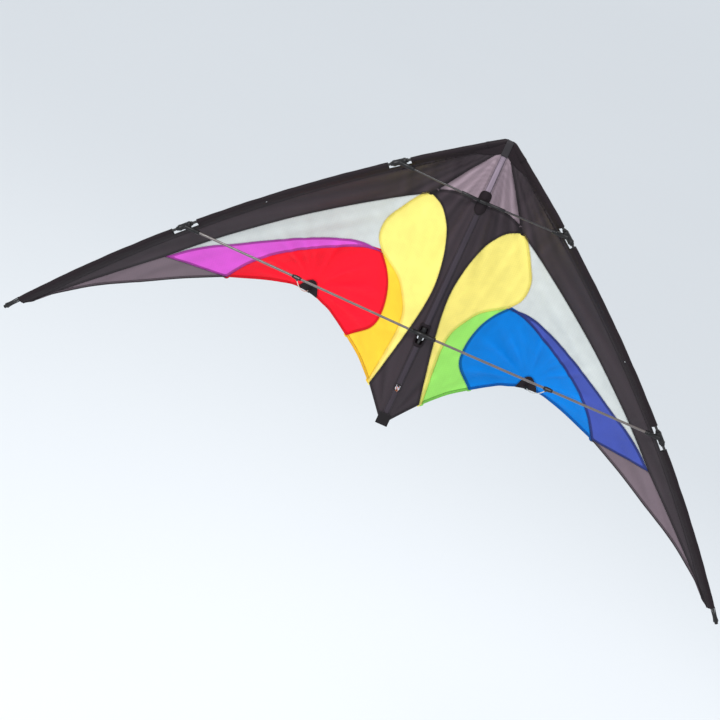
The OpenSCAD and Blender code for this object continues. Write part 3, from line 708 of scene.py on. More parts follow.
def told(piece, body, slot, node=None, blend_side=None):
    if blend_side:
        start, end = [(x * SIDES[blend_side] * MM, 0, 0) for x in BLEND_X]
        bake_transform(piece)
        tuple(start)
        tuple(end)
    else:
        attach(piece, body)
    if node:
        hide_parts(node)
    return piece


def wing_piece(name, shape, side, material, slot="black_fabric", uv=None, node=None,
               blended=False, snap=False, **values):
    """A piece in wing coordinates. Snapping puts its points beside the spine on the middle."""
    name, node = f"{side}_{name}", node and f"{side}_{node}"
    points, faces = np.asarray(shape[0], float), shape[1]
    placed = place(points, side)
    if snap:
        placed[:, 0] = np.where(points[:, 0] < 0.01, 0, placed[:, 0])
    flat = points[:, [0, 2]] * MM if uv is None else uv
    piece = mesh_object(name, placed, faces, material, flat, side == "left", **values)
    if blended:
        return told(piece, "spine_frame", slot, node, side)
    return told(piece, side + "_wing", slot, node)


def on_sail(flat, behind, surface=sail_y):
    """Flat points brought onto a surface of the sail, or a little behind it."""
    x, z = flat[:, 0], flat[:, 1]
    return np.stack([x, surface(x, z) + behind, z], 1)


for side in SIDES:
    for part, (level, names) in PANELS.items():
        title, cloth, slot = CLOTHS[side][part]
        true_loop = loop_of(*names)
        under = [n.strip("-") for n in names if SEAM_TOP.get(n.strip("-"), part) != part]
        lap = np.zeros(len(true_loop))
        if under:
            near = np.min([distance(true_loop, LINES[n]) for n in under], axis=0)
            lap = LAP * (1 - smooth(0, 5, near))
        loop = grown(true_loop, lap[:, None])
        free = np.vstack([loop, loop[:1]])
        to_spine = part in ("nose", "centre")
        if to_spine:
            loop[:, 0] = np.where(true_loop[:, 0] < 0.5, 0, np.maximum(loop[:, 0], 0))
            first = np.argmax((loop[:, 0] < 0.01) & (np.roll(loop[:, 0], 1) > 0.01))
            free = np.roll(loop, -first, axis=0)
            free = free[free[:, 0] > 0.01]
        flat, faces = fill(loop, PANEL_STEP)
        # Each panel point carries its distance from the free edge, for the painted seam shade, and
        # its painted crease light and shade.
        piece = wing_piece(
            title + "_cloth", (on_sail(flat, -level * LAYER), faces), side, cloth, slot,
            flat * MM, title + "_panel", to_spine, to_spine,
            edge=distance(flat, free) * MM, crease=crease_shading(flat[:, 0], flat[:, 1]))
        declare_sheet(piece, unrolled(loop))

# ---------- hems and stitching ----------

STITCH_R, STITCH_PITCH, STITCH_LIFT = 0.24, 2.6, 0.12
STITCH_ARCH = ((0.08, -1), (0.25, 1), (0.75, 1), (0.92, -1))
ZIGZAG_W, ZIGZAG_PITCH, ZIGZAG_BACK = 4.0, 1.5, 0.4


def top_of(part):
    """How far the front of a panel's stitching lies ahead of the sail's own surface."""
    return PANELS[part][0] * LAYER + 0.2


def normals_of(line):
    t = np.gradient(line, axis=0)
    t /= np.maximum(np.linalg.norm(t, axis=1), 1e-9)[:, None]
    return np.stack([-t[:, 1], t[:, 0]], 1)


def run_along(line):
    """The length of a line up to each of its points."""
    return np.concatenate([[0], np.cumsum(np.linalg.norm(np.diff(line, axis=0), axis=1))])


def resample(line, step, extra=1):
    """A line with evenly spaced points: one for each step of its length, and extra ones."""
    line = np.asarray(line, float)
    along = run_along(line)
    where = np.linspace(0, along[-1], max(2, round(along[-1] / step)) + extra)
    return np.stack([np.interp(where, along, column) for column in line.T], 1)


def zigzag(line, top):
    """A zigzag row over a seam, on both faces of the sail."""
    p = resample(line, ZIGZAG_PITCH)
    turns = np.where(np.arange(len(p)) % 2, 0.5, -0.5)[:, None]
    p = p + normals_of(p) * turns * ZIGZAG_W
    return [tube(on_sail(p, face), STITCH_R) for face in (-top, ZIGZAG_BACK)]


def lockstitch(line, faces, aside=0.0, surface=sail_y):
    """A straight row of separate stitches beside a line, on each of the faces."""
    p = resample(line, STITCH_PITCH)
    p = p + normals_of(p) * aside
    stitches = []
    for face in faces:
        points = on_sail(p, face, surface)
        lift = np.array([0, math.copysign(STITCH_LIFT, face), 0])
        for a, b in zip(points[:-1], points[1:]):
            stitches.append(tube([a + (b - a) * t + lift * h for t, h in STITCH_ARCH], STITCH_R))
    return stitches


def hem_of(line, top):
    """An edge folded over to the back: a narrow front lip, the round fold and the turned hem."""
    p = resample(line, 4)
    out = -normals_of(p)
    section = ((-2.4, -top), (-0.2, -top), (0.5, -0.6 * top), (0.7, 0), (0.5, 0.5), (-0.4, 0.75),
               (-8, 0.7))
    points = np.vstack([on_sail(p + out * d, y) for d, y in section])
    return points, quads(len(section), len(p), ring=False)


HEMS = {"centre": "centre_trailing", "crescent": "green_trailing", "flame": "blue_trailing",
        "tip": "tip_trailing"}
SEAMS = {
    "black": ("nose_base", "nose_side", "corner", "centre_yellow", "silver_black", "tip_black",
              "indigo_tip"),
    "yellow": ("yellow_silver", "yellow_green"),
    "flame": ("green_blue",),
    "sweep": ("indigo_silver", "indigo_blue"),
}
THREADS = {
    "left": {"black": BLACK_THREAD, "yellow": thread("yellow_thread", (244, 216, 76)),
             "flame": thread("red_thread", (190, 14, 32)),
             "sweep": thread("purple_thread", (140, 50, 140))},
}
THREADS["right"] = {**THREADS["left"], "flame": thread("blue_thread", (0, 82, 170)),
                    "sweep": thread("navy_thread", (44, 52, 116))}

for side in SIDES:
    for part, name in HEMS.items():
        title, cloth, slot = CLOTHS[side][part]
        blended = part == "centre"
        wing_piece(title + "_hem", hem_of(LINES[name], top_of(part) + 0.05), side,
                   BLACK if part == "tip" else cloth, slot, blended=blended)
        rows = lockstitch(LINES[name], (-top_of(part), 0.9), aside=6.2)
        wing_piece(title + "_hem_stitching", joined(rows), side,
                   THREADS[side].get(part, BLACK_THREAD), slot, blended=blended)
    for colour, names in SEAMS.items():
        rows = [row for name in names for row in zigzag(LINES[name], top_of(SEAM_TOP[name]))]
        wing_piece(colour + "_seam_stitching", joined(rows), side, THREADS[side][colour],
                   blended=colour == "black")

# ---------- leading edge sleeves ----------


def on_arc(angle, d, y):
    """A point beside the leading rod, d outwards from its axis."""
    r = ROD_R + d
    return np.array([LEADING_C[0] + r * math.cos(angle), y, LEADING_C[1] + r * math.sin(angle)])


def arc_angle(x):
    return math.acos((x - LEADING_C[0]) / ROD_R)


SLEEVE_SECTION = [
    (-21, -0.5), (-18, -0.6), (-14, -0.6), (-11.5, 2.6), (-9.5, 1.1), (-7.5, -0.8), (-5.5, -2.7),
    (-3.4, -4.2), (-1.2, -4.75), (1.2, -4.6), (3.3, -3.5), (4.6, -1.5), (4.9, 0.5), (4.4, 2.4),
    (3.0, 4.0), (1.0, 4.8), (-1.5, 5.0), (-4.5, 4.95), (-7.5, 4.85), (-9.5, 4.8), (-11.5, 4.75),
    (-14, 0.6), (-18, 0.6), (-21, 0.5),
]
CUT, JOINT_X, PINHOLE, BINDING_R = -9.5, 430, 4.4, 0.45
CUT_ROWS = [i for i, (d, _) in enumerate(SLEEVE_SECTION) if d == CUT]


def window_span(x, length):
    middle, half = arc_angle(x), length / 2 / ROD_R
    return middle - half, middle + half


def sleeve_point(angle, i):
    """A point of the sleeve's cloth, with the small gathers of a sewn channel."""
    d, y = SLEEVE_SECTION[i]
    run = angle * ROD_R
    if d < CUT:
        to_end = run - arc_angle(SLEEVE_X[1]) * ROD_R
        d = CUT + (d - CUT) * (0.4 + 0.6 * float(smooth(0, 24, to_end)))
    if y > 0:
        y *= 0.3 + 0.7 * float(smooth(8, 17, on_arc(angle, d, 0)[0]))
    if SLEEVE_SECTION[i][0] < -12:
        x, _, z = on_arc(angle, d, 0)
        return on_arc(angle, d, float(sail_y(x, z)) + y)
    if d > CUT:
        swell = 0.25 * math.sin(run / 9.0 + i * 0.7) * math.sin(run / 31.0 + i * 0.3)
        swell += 0.2 * math.sin(run / 17.0 - i * 0.5)
        length = math.hypot(d, y)
        return on_arc(angle, d * (1 + swell / length), y * (1 + swell / length))
    return on_arc(angle, d, y)


def sleeve(side):
    windows = [window_span(UPPER_X, UPPER_WINDOW), window_span(LOWER_X, LOWER_WINDOW)]
    ends = [a for w in windows for a in w]
    low, high = arc_angle(SLEEVE_X[1]), arc_angle(SLEEVE_X[0])
    hole = window_span(JOINT_X, PINHOLE)
    stops = sorted([low, high, *hole, *ends])
    angles = [stops[0]]
    for a, b in zip(stops[:-1], stops[1:]):
        n = max(2, round((b - a) * ROD_R / 4))
        angles += list(a + (b - a) * np.arange(1, n + 1) / n)
    rows = len(SLEEVE_SECTION)
    points = [sleeve_point(a, i) for a in angles for i in range(rows)]
    faces = []
    for k, (a, b) in enumerate(zip(angles[:-1], angles[1:])):
        middle = (a + b) / 2
        cut = any(w[0] < middle < w[1] for w in windows)
        pierced = hole[0] < middle < hole[1]
        for i in range(rows - 1):
            inner = cut and CUT_ROWS[0] <= i < CUT_ROWS[1]
            if not inner and not (pierced and i in (CUT_ROWS[0], CUT_ROWS[1] - 1)):
                at = k * rows + i
                faces.append((at, at + rows, at + rows + 1, at + 1))
    used = sorted({i for f in faces for i in f})
    new = {old: i for i, old in enumerate(used)}
    shape = [points[i] for i in used], [[new[i] for i in f] for f in faces]
    across = run_along(SLEEVE_SECTION)
    uv = np.array([(angles[i // rows] * ROD_R, across[i % rows]) for i in used]) * MM
    piece = wing_piece("sleeve_cloth", shape, side, SLEEVE, uv=uv, node="leading_edge_sleeve")
    edges = []
    for a in (low, *ends):
        first, last = (0, rows - 1) if a == low else CUT_ROWS
        edges.append(tube([sleeve_point(a, i) for i in range(first, last + 1)], BINDING_R, 6))
    for w in windows:
        for row in CUT_ROWS:
            edges.append(tube([sleeve_point(a, row) for a in np.linspace(*w, 16)], BINDING_R, 6))
    wing_piece("sleeve_edge_binding", joined(edges), side, WEBBING)
    stitches = []
    for d, start in ((-13.2, 4), (-18.5, 22)):
        a = np.arange(low + start / ROD_R, high, STITCH_PITCH / ROD_R)
        line = np.stack([LEADING_C[0] + (ROD_R + d) * np.cos(a),
                         LEADING_C[1] + (ROD_R + d) * np.sin(a)], 1)
        stitches += lockstitch(line, (-0.95, 0.95))
    wing_piece("sleeve_stitching", joined(stitches), side, BLACK_THREAD)


for side in SIDES:
    sleeve(side)

# ---------- spine pocket, nose and tail ----------

ROD_CLOTH_R, POCKET_HALF, FAR_FROM_EDGE = 4.6, 11, 0.02
CENTRE_FRONT = PANELS["centre"][0] * LAYER


def on_front(ahead):
    """A surface ahead of the front of the cloth at the spine."""
    return lambda x, z: sail_y(np.abs(x), z) - CENTRE_FRONT - ahead


def on_back(behind):
    return lambda x, z: sail_y(np.abs(x), z) + behind


def behind_rod(behind):
    """The back of cloth that passes behind the spine and is sewn down at the pocket's edges."""
    sewn = POCKET_HALF - 2.5

    def surface(x, z):
        a = np.abs(x)
        down = sail_y(POCKET_HALF, z) + 0.5
        round_part = np.sqrt(np.maximum(ROD_CLOTH_R**2 - np.minimum(a, 3.3) ** 2, 0))
        slope = (down - round_part) * smooth(3.0, sewn, a)
        return np.where(a > sewn, sail_y(a, z) + 0.5, round_part + slope) + behind
    return surface


def both_sides(points):
    """Wing coordinates on either side of the spine, in the frame's metres."""
    p = np.asarray(points, float)
    out = place(np.stack([np.abs(p[:, 0]), p[:, 1], p[:, 2]], 1), "right")
    out[:, 0] = np.where(np.abs(p[:, 0]) < 0.01, 0, np.abs(out[:, 0]) * np.sign(p[:, 0]))
    return out


def resample_loop(loop):
    return resample(np.vstack([loop, loop[:1]]), 2.5)[:-1]


def stadium(width, low, high):
    """An outline with straight sides and round ends."""
    r = width / 2
    points = []
    for z, first in ((high - r, 0), (low + r, math.pi)):
        points += [(r * math.cos(a), z + r * math.sin(a))
                   for a in np.linspace(first, first + math.pi, 14)]
    return resample_loop(np.array(points))


def box_loop(x0, x1, z0, z1, corner):
    """An outline with rounded corners."""
    points = []
    for cx, cz, first in ((x1, z1, 0), (x0, z1, 90), (x0, z0, 180), (x1, z0, 270)):
        sx, sz = (1 if cx == x1 else -1), (1 if cz == z1 else -1)
        for a in np.radians(np.linspace(first, first + 90, 5)):
            points.append((cx - sx * corner + corner * math.cos(a),
                           cz - sz * corner + corner * math.sin(a)))
    return resample_loop(np.array(points))


def spine_layer(name, loop, front, back, material, slot, node=None, step=2.5, holes=()):
    points, faces, flat = layered(loop, step, front, back, holes)
    # Painted light and shade along the creases, as on the panels.
    crease = crease_shading(np.abs(flat[:, 0]), flat[:, 1])
    piece = mesh_object(name, both_sides(points), faces, material, uv=flat * MM,
                        edge=np.full(len(flat), FAR_FROM_EDGE), crease=crease)
    told(piece, "spine_frame", slot, node)
    declare_sheet(piece, unrolled(loop, front), [unrolled(h, front) for h in holes])


def spine_stitches(name, rows):
    points, faces = joined(rows)
    told(mesh_object(name, both_sides(points), faces, BLACK_THREAD), "spine_frame", "black_fabric")


# Lighter, bluer copies of the black and mauve ripstop for the spine's pocket and front strip: a
# painted sheen along the spine.
POCKET_BLACK_SHEEN = ripstop("black_pocket", (61, 53, 61), 0.1, 0.42, crease=0.35, sheen=0.1)
POCKET_MAUVE_SHEEN = ripstop("mauve_pocket_sheen", (150, 134, 148), 0.24, 0.42, crease=0.3)
POCKETS = {
    "nose": (322, 444, POCKET_MAUVE_SHEEN, "nose_fabric"),
    "upper": (20, 321.5, POCKET_BLACK_SHEEN, "black_fabric"),
    "lower": (-128, -28, POCKET_BLACK_SHEEN, "black_fabric"),
    "tail": (-206, -146, POCKET_BLACK_SHEEN, "black_fabric"),
}

stitches = []
for name, (low, high, material, slot) in POCKETS.items():
    outline = box_loop(-POCKET_HALF, POCKET_HALF, low, high, 1.5)
    spine_layer(name + "_pocket", outline, behind_rod(0), behind_rod(0.3), material, slot,
                "spine_pocket" if name == "upper" else None, 2.2)
    # The strip on the front over the spine is cut from the same painted-sheen cloth.
    spine_layer(name + "_strip", box_loop(-6.5, 6.5, low, high, 1), on_front(0.4), on_front(0.1),
                material, slot)
    for half, face, surface in ((5.7, -0.55, on_front(0)), (POCKET_HALF - 1.3, 0.95, on_back(0))):
        for x in (-half, half):
            line = straight((x, low + 2), (x, high - 2))
            stitches += lockstitch(line, (face,), surface=surface)
spine_stitches("spine_pocket_stitching", stitches)


def front_stitches(name, loops, face):
    """Closed rows of stitches on the front of the cloth at the spine."""
    rows = [row for loop in loops
            for row in lockstitch(np.vstack([loop, loop[:1]]), (face,), surface=on_front(0))]
    spine_stitches(name, rows)


spine_layer("chafe_oval", stadium(26, 296.5, 353.5), on_front(1.2), on_front(0.5), SLEEVE,
            "black_fabric", "chafe_patch")
front_stitches("chafe_oval_stitching", [stadium(22.5, 298.3, 351.7)], -1.3)

tee_hole = box_loop(-TEE_NOTCH[0], *TEE_NOTCH, NOTCH_CORNER)


def behind_tee(behind):
    """The patch that passes behind the tee's body, between the ends of the pocket."""
    def surface(x, z):
        sewn = sail_y(np.abs(x), z) + 0.8
        return sewn + (6.3 - sewn) * (1 - smooth(6.5, 12, np.abs(x))) + behind
    return surface


spine_layer("tee_window_patch", box_loop(-14, 14, -34, 27, 4), behind_tee(0), behind_tee(0.7),
            SLEEVE, "black_fabric", "spine_window_patch",
            holes=[box_loop(-7.5, 7.5, -18, -4, 2.5)])
spine_layer("tee_window_facing", box_loop(-12, 12, -32, 25, 4), on_front(1.0), on_front(0.5),
            SLEEVE, "black_fabric", holes=[tee_hole])
front_stitches("tee_window_stitching",
               [grown(tee_hole, 1.4), box_loop(-10.6, 10.6, -30.6, 23.6, 3)], -1.15)

NOSE_PATCH = [(0, 441), (0, 458), (9, 463), (22, 455), (64, 424), (60, 414), (36, 420), (20, 429),
              (13, 434), (7, 439.5)]
nose_loop = resample_loop(np.array(NOSE_PATCH, float))
for side in SIDES:
    for face, (front, back) in {"front": (on_front(0.7), on_front(0.2)),
                                "back": (on_back(0.3), on_back(0.8))}.items():
        points, faces, flat = layered(nose_loop, 3.0, front, back)
        piece = wing_piece("nose_patch_" + face, (points, faces), side, SLEEVE, uv=flat * MM,
                           blended=True, snap=True)
        declare_sheet(piece, unrolled(nose_loop, front))

NOSE_CAP_X, CAP_THICK, CAP_STITCH = (4.2, 44), 0.7, 0.95


def nose_cap(side):
    """The reinforcement folded round the end of the sleeve and sewn shut at the nose."""
    low, high = (arc_angle(x) for x in NOSE_CAP_X[::-1])
    angles = [low, low + 0.3 / ROD_R, *np.linspace(low + 1 / ROD_R, high, 18)]
    span = range(1, len(SLEEVE_SECTION) - 1)
    section = [SLEEVE_SECTION[i] for i in span]
    points = []
    for a in angles:
        axis = on_arc(a, 0, 0)
        shut = 0.6 + 0.4 * float(smooth(NOSE_CAP_X[0] - 1, 11, axis[0]))
        out = 0.1 if a == low else CAP_THICK
        for i, (d, y) in zip(span, section):
            p = sleeve_point(a, i)
            if d > CUT and abs(p[1]) > 0.5 * abs(y):
                p = p + unit(p - axis) * out
            else:
                p = p + np.array([0, math.copysign(out, y), 0])
            points.append(axis + (p - axis) * shut)
    n = len(span)
    faces = [(a, d, c, b) for a, b, c, d in quads(len(angles), n, ring=False)]
    faces.append(end_caps(len(angles), n)[1])
    across = run_along(section)
    uv = np.array([(a * ROD_R, c) for a in angles for c in across]) * MM
    piece = wing_piece("nose_cap", (points, faces), side, SLEEVE, uv=uv)
    rows = []
    for a in (low + 2 / ROD_R, low + 4.5 / ROD_R):
        line, axis = [], on_arc(a, 0, 0)
        for i, (d, y) in zip(span, section):
            p = sleeve_point(a, i)
            line.append(p + unit(p - axis) * CAP_STITCH if d > CUT
                        else p + np.array([0, math.copysign(CAP_STITCH, y), 0]))
        rows.append(tube(line, STITCH_R))
    wing_piece("nose_cap_stitching", joined(rows), side, BLACK_THREAD)


for side in SIDES:
    nose_cap(side)


def strap_piece(name, path, width, thickness, body, node, material=WEBBING):
    """Flat webbing with rounded edges along a line in the YZ plane.

    The width is one number, or one for each point of the line.
    """
    p = np.asarray(path, float)
    t = np.gradient(p, axis=0)
    t /= np.linalg.norm(t, axis=1)[:, None]
    n = np.stack([t[:, 1], -t[:, 0]], 1)
    h, lip = thickness / 2, thickness / 2 * 0.4
    points, uv = [], []
    for at, up, run, w in zip(p, n, run_along(p), np.broadcast_to(np.asarray(width) / 2, len(p))):
        near = w - h * 0.6
        section = ((-w, -lip), (-near, -h), (-w / 2, -h), (0, -h), (w / 2, -h), (near, -h),
                   (w, -lip), (w, lip), (near, h), (w / 2, h), (0, h), (-w / 2, h), (-near, h),
                   (-w, lip))
        points += [(x, *(at + up * d)) for x, d in section]
        uv += [(x, run) for x, _ in section]
    rows, n = len(p), len(section)
    piece = mesh_object(name, np.array(points) * MM, quads(rows, n) + end_caps(rows, n), material,
                        np.array(uv) * MM)
    told(piece, body, "webbing", node)


def arc_path(y, z, radius, first, last, n):
    return [(y + radius * math.cos(a), z + radius * math.sin(a))
            for a in np.radians(np.linspace(first, last, n))]


nose_path = [(-6.9, z) for z in np.linspace(437, 458, 8)]
nose_path += arc_path(0, 465.5, 6.6, 180, 0, 14)
nose_path += [(7.6 + 1.1 * math.sin(t * math.pi), 463 - 34 * t) for t in np.linspace(0, 1, 12)]
# The back leg is folded narrower, to leave room for the wings' sleeves.
nose_width = np.interp(range(len(nose_path)), (13, 18), (15, 9))
strap_piece("nose_strap", nose_path, nose_width, 1.3, "spine_frame", "nose_webbing", NOSE_WEBBING_SHEEN)

# ---------- fittings ----------

LEADING_D, LOWER_D, UPPER_D, BORE_GAP = 6.0, 5.5, 4.5, 0.1
LOWER_IN, UPPER_IN = np.array([0, -9.0, 0]), np.array([0, -10.0, 329])
LOWER_OUT, UPPER_OUT = (np.array([x, -2.5, arc_z(x, ROD_R)]) for x in (LOWER_X, UPPER_X))
LOWER_DIR, UPPER_DIR = unit(LOWER_OUT - LOWER_IN), unit(UPPER_OUT - UPPER_IN)
CONNECTOR_L, ARM_L, SOCKET_L, TEE_HALF, JOINER_HALF = 30, 36, 22, 31, 50
ROD_END_X, FRAME_Y = SPAN / 2 + 12, np.array([0, 1.0, 0])


def fitting(name, shapes, node, side=None, body="wing", material=FITTING, slot="fitting"):
    """A moulded piece in the coordinates of a side's wing, or in the frame's if it has no side."""
    points, faces = joined(shapes)
    if side:
        name, node, body = f"{side}_{name}", f"{side}_{node}", f"{side}_{body}"
        points = place(points, side)
    else:
        body, points = "spine_frame", np.array(points) * MM
    told(mesh_object(name, points, faces, material, turned=side == "left"), body, slot, node)


def rod_frame(x):
    """A point on the leading rod's axis and the way from it to the tip."""
    a = arc_angle(x)
    return on_arc(a, 0, 0), np.array([math.sin(a), 0, -math.cos(a)])


def socket_arm(length, radius, bore, depth, root):
    """An arm that flares at its root, with ribs at its mouth and a blind socket."""
    out = [(0, 0.3), (0, root), (3, root * 0.97), (7, (root + radius) / 2 * 0.97), (11, radius)]
    for middle in (length - 8.5, length - 4.5):
        out += [(middle - 1.3, radius), (middle - 0.9, radius + 0.4),
                (middle + 0.9, radius + 0.4), (middle + 1.3, radius)]
    return out + [
        (length - 0.9, radius), (length - 0.3, radius - 0.3), (length, radius - 0.9),
        (length, bore + 0.3), (length - 0.4, bore), (length - depth, bore), (length - depth, 0.3)]


def section_prism(section, origin, across, up, axis, low, high, soft=0.5):
    """A section given in (across, up), drawn out along axis, with softened ends."""
    p = np.asarray(section, float)
    rows = [(low, grown(p, -soft)), (low + soft, p), (high - soft, p), (high, grown(p, -soft))]
    points = [origin + a * across + b * up + t * axis for t, ring in rows for a, b in ring]
    return points, quads(len(rows), len(p)) + end_caps(len(rows), len(p))


def open_ring(outer, inner, half_gap):
    """The outline of a ring that is open on the minus side of its second axis."""
    n = 26
    first, second = math.asin(half_gap / outer), math.asin(half_gap / inner)
    a = np.linspace(-math.pi / 2 + first, 1.5 * math.pi - first, n)
    b = np.linspace(1.5 * math.pi - second, -math.pi / 2 + second, n)
    return np.vstack([np.stack([outer * np.cos(a), outer * np.sin(a)], 1),
                      np.stack([inner * np.cos(b), inner * np.sin(b)], 1)])


def connector(side, level, x, out, direction, rod_d):
    at, axis = rod_frame(x)
    body = sleeve_profile(CONNECTOR_L, 6.5, LEADING_D / 2 + BORE_GAP, (4, CONNECTOR_L - 4))
    arm = socket_arm(ARM_L, 4.75, rod_d / 2 + BORE_GAP, SOCKET_L, 6.0)
    shapes = [lathe(body, at - CONNECTOR_L / 2 * axis, axis), lathe(arm, out, -direction)]
    fitting(level + "_connector_body", shapes, level + "_connector", side)


def rubber_ring(radius, rod_d, at, axis):
    return lathe(sleeve_profile(4, radius, rod_d / 2 + BORE_GAP, soft=0.9), at, axis)


CLIP_X, CLIP_W = 299, 12
CLIP = LOWER_IN + CLIP_X / LOWER_DIR[0] * LOWER_DIR
FOOT_Z = STAND_Z + 5
FOOT = np.array([STAND_X, float(billow_y(STAND_X, FOOT_Z)) - 7, FOOT_Z])
STAND_EX = -LOWER_DIR
STAND_EZ = unit((FOOT - CLIP) - ((FOOT - CLIP) @ STAND_EX) * STAND_EX)
STAND_EY = np.cross(STAND_EZ, STAND_EX)
STAND_WAY = unit(FOOT - CLIP)
STAND_SIDE = np.cross(STAND_EY, STAND_WAY)
STAND_L, STAND_BOW = np.linalg.norm(FOOT - CLIP), 12
BOW_R = (STAND_L**2 / 4 + STAND_BOW**2) / (2 * STAND_BOW)
BOW_HALF = math.asin(STAND_L / 2 / BOW_R)


def stand_point(a):
    """A point of the bowed stand-off rod and the way along it to the foot."""
    at = (CLIP + BOW_R * (math.cos(BOW_HALF) - math.cos(a)) * STAND_EY
          + (STAND_L / 2 + BOW_R * math.sin(a)) * STAND_WAY)
    return at, math.sin(a) * STAND_EY + math.cos(a) * STAND_WAY


FOOT_BACK = 6


def stand_off(side):
    """The clip on the spreader, and the socket that the rod's foot sits in."""
    ring = section_prism(open_ring(5, LOWER_D / 2 + 0.2, 2.2), CLIP, STAND_EY, STAND_EZ, STAND_EX,
                         -CLIP_W / 2, CLIP_W / 2)
    at, way = stand_point(-BOW_HALF + 4.5 / BOW_R)
    boss = [(0, 0.3), (0, 3.6), (2, 3.3), (3.5, 3), (8.2, 3), (9.2, 2.6), (9.5, 2.2), (9.5, 1.1),
            (2, 1.1), (2, 0.3)]
    fitting("stand_off_clip_body", [ring, lathe(boss, at, way, 20)], "stand_off_clip", side,
            "stand_off")
    at, way = stand_point(BOW_HALF - FOOT_BACK / BOW_R)
    socket = section_prism(open_ring(3.3, 1.5, 1.2), at, STAND_SIDE, np.cross(way, STAND_SIDE), way,
                           -6, 7.3, 0.35)
    cap = [(6.9, 0.2), (6.9, 3.2), (7.8, 3.1), (8.5, 2.2), (8.7, 0.2)]
    fitting("stand_off_foot", [socket, lathe(cap, at, way, 24)], "stand_off_socket", side)


PATCH_TOP = [(299, -76), (294, -64), (282, -49), (272, -43), (262, -48), (254, -64), (250, -79)]


def edge_patch(side):
    """Cloth folded over the trailing edge where the stand-off meets it, front and back."""
    edge = LINES["blue_trailing"]
    edge = edge[(edge[:, 0] > 251) & (edge[:, 0] < 298)] - [0, 0.9]
    loop = np.vstack([curve(PATCH_TOP, 3), edge])
    for face, near, far, node in (("front", -1.3, -0.7, "trailing_edge_patch"),
                                  ("back", 0.9, 1.5, None)):
        points, faces, flat = layered(loop, 3, on_back(near), on_back(far))
        piece = wing_piece("edge_patch_" + face, (points, faces), side, SLEEVE, uv=flat * MM,
                           node=node)
        declare_sheet(piece, unrolled(loop))
    rows = lockstitch(curve(PATCH_TOP, 3), (-1.45, 1.65), aside=-2.2)
    wing_piece("edge_patch_stitching", joined(rows), side, BLACK_THREAD)


def socket_loop(side):
    """The loop of webbing that holds the stand-off's socket on its patch."""
    at, way = stand_point(BOW_HALF - FOOT_BACK / BOW_R)
    ring = [at + 3.7 * (math.cos(a) * STAND_SIDE + math.sin(a) * np.cross(way, STAND_SIDE))
            for a in np.radians(np.linspace(-50, 230, 18))]
    ends = [np.array([p[0], float(sail_y(p[0], p[2])) - 1.4, p[2]]) for p in (ring[0], ring[-1])]
    path = np.array([ends[0], *ring, ends[1]])
    thick = np.array([unit(o - (o @ way) * way) * 0.8 for o in path - at])
    rows = [path + way * t for t in (-4, -3.6, 3.6, 4)]
    points = np.vstack(rows + [row + thick for row in rows])
    n, m = len(path), len(rows) * len(path)
    faces = quads(len(rows), n, ring=False)
    faces += [tuple(m + i for i in f[::-1]) for f in faces]
    rims = [(r * n + i + 1, r * n + i, order)
            for r, order in ((0, 1), (3, -1)) for i in range(n - 1)]
    rims += [(r * n + i, (r + 1) * n + i, order)
             for i, order in ((0, 1), (n - 1, -1)) for r in range(3)]
    faces += [(a, b, m + b, m + a)[::order] for a, b, order in rims]
    wing_piece("socket_loop", (points, faces), side, WEBBING, "webbing")


def wing_tip(side):
    """The nock on the end of the leading edge, and the elastic that is hooked round it."""
    at, axis = rod_frame(ROD_END_X)
    inward = np.cross(FRAME_Y, axis)
    body = [(-4, 3.5), (-3.6, 3.9), (0.6, 4), (1, 3.7), (1.8, 3.7), (2.2, 4), (14.6, 4), (15, 3.9),
            (15, 0.3), (0.2, 0.3), (0.2, 3.05), (-4, 3.05)]
    shapes = [lathe(body, at, axis)]
    first = math.asin(1.3 / 4)
    a = np.linspace(first, math.pi - first, 12)
    for flip in (1, -1):
        prong = np.stack([4 * np.cos(a), 4 * np.sin(a) * flip], 1)
        shapes.append(section_prism(prong, at, inward, FRAME_Y, axis, 14.8, 21.5, 0.6))
    fitting("tip_nock_body", shapes, "wing_tip_nock", side)
    run = (ROD_END_X - SLEEVE_X[1]) / math.sin(arc_angle(ROD_END_X)) + 1
    legs = [(-3.9 - 1.3 * (t / 15) ** 2 if t > 0 else -3.9 + 0.03 * t, t)
            for t in np.linspace(-run, 13, 20)]
    bend = [(-5.2 * math.cos(a), 13.4 + 4.4 * math.sin(a))
            for a in np.linspace(0.1, math.pi - 0.1, 17)]
    path = legs + bend + [(-x, t) for x, t in legs[::-1]]
    points = [at + x * inward + t * axis for x, t in path]
    fitting("tip_elastic", [tube(resample(points, 0.9, 0), 1.0, 10)], "tension_cord", side,
            material=ELASTIC, slot="elastic_cord")


for side in SIDES:
    connector(side, "upper", UPPER_X, UPPER_OUT, UPPER_DIR, UPPER_D)
    connector(side, "lower", LOWER_X, LOWER_OUT, LOWER_DIR, LOWER_D)
    rings = []
    for x in (UPPER_X, LOWER_X):
        at, axis = rod_frame(x)
        for t in (-CONNECTOR_L / 2 - 4.4, CONNECTOR_L / 2 + 0.4):
            rings.append(rubber_ring(4.75, LEADING_D, at + t * axis, axis))
    for t in (-CLIP_W / 2 - 4.5, CLIP_W / 2 + 0.5):
        rings.append(rubber_ring(4.25, LOWER_D, CLIP + t * LOWER_DIR, LOWER_DIR))
    fitting("rubber_rings", rings, "stopper_rings", side)
    stand_off(side)
    edge_patch(side)
    socket_loop(side)
    wing_tip(side)


def turned(v, flip):
    """A point or direction of a wing, in the frame's axes."""
    return place([v], "right")[0] / MM * [flip, 1, 1]


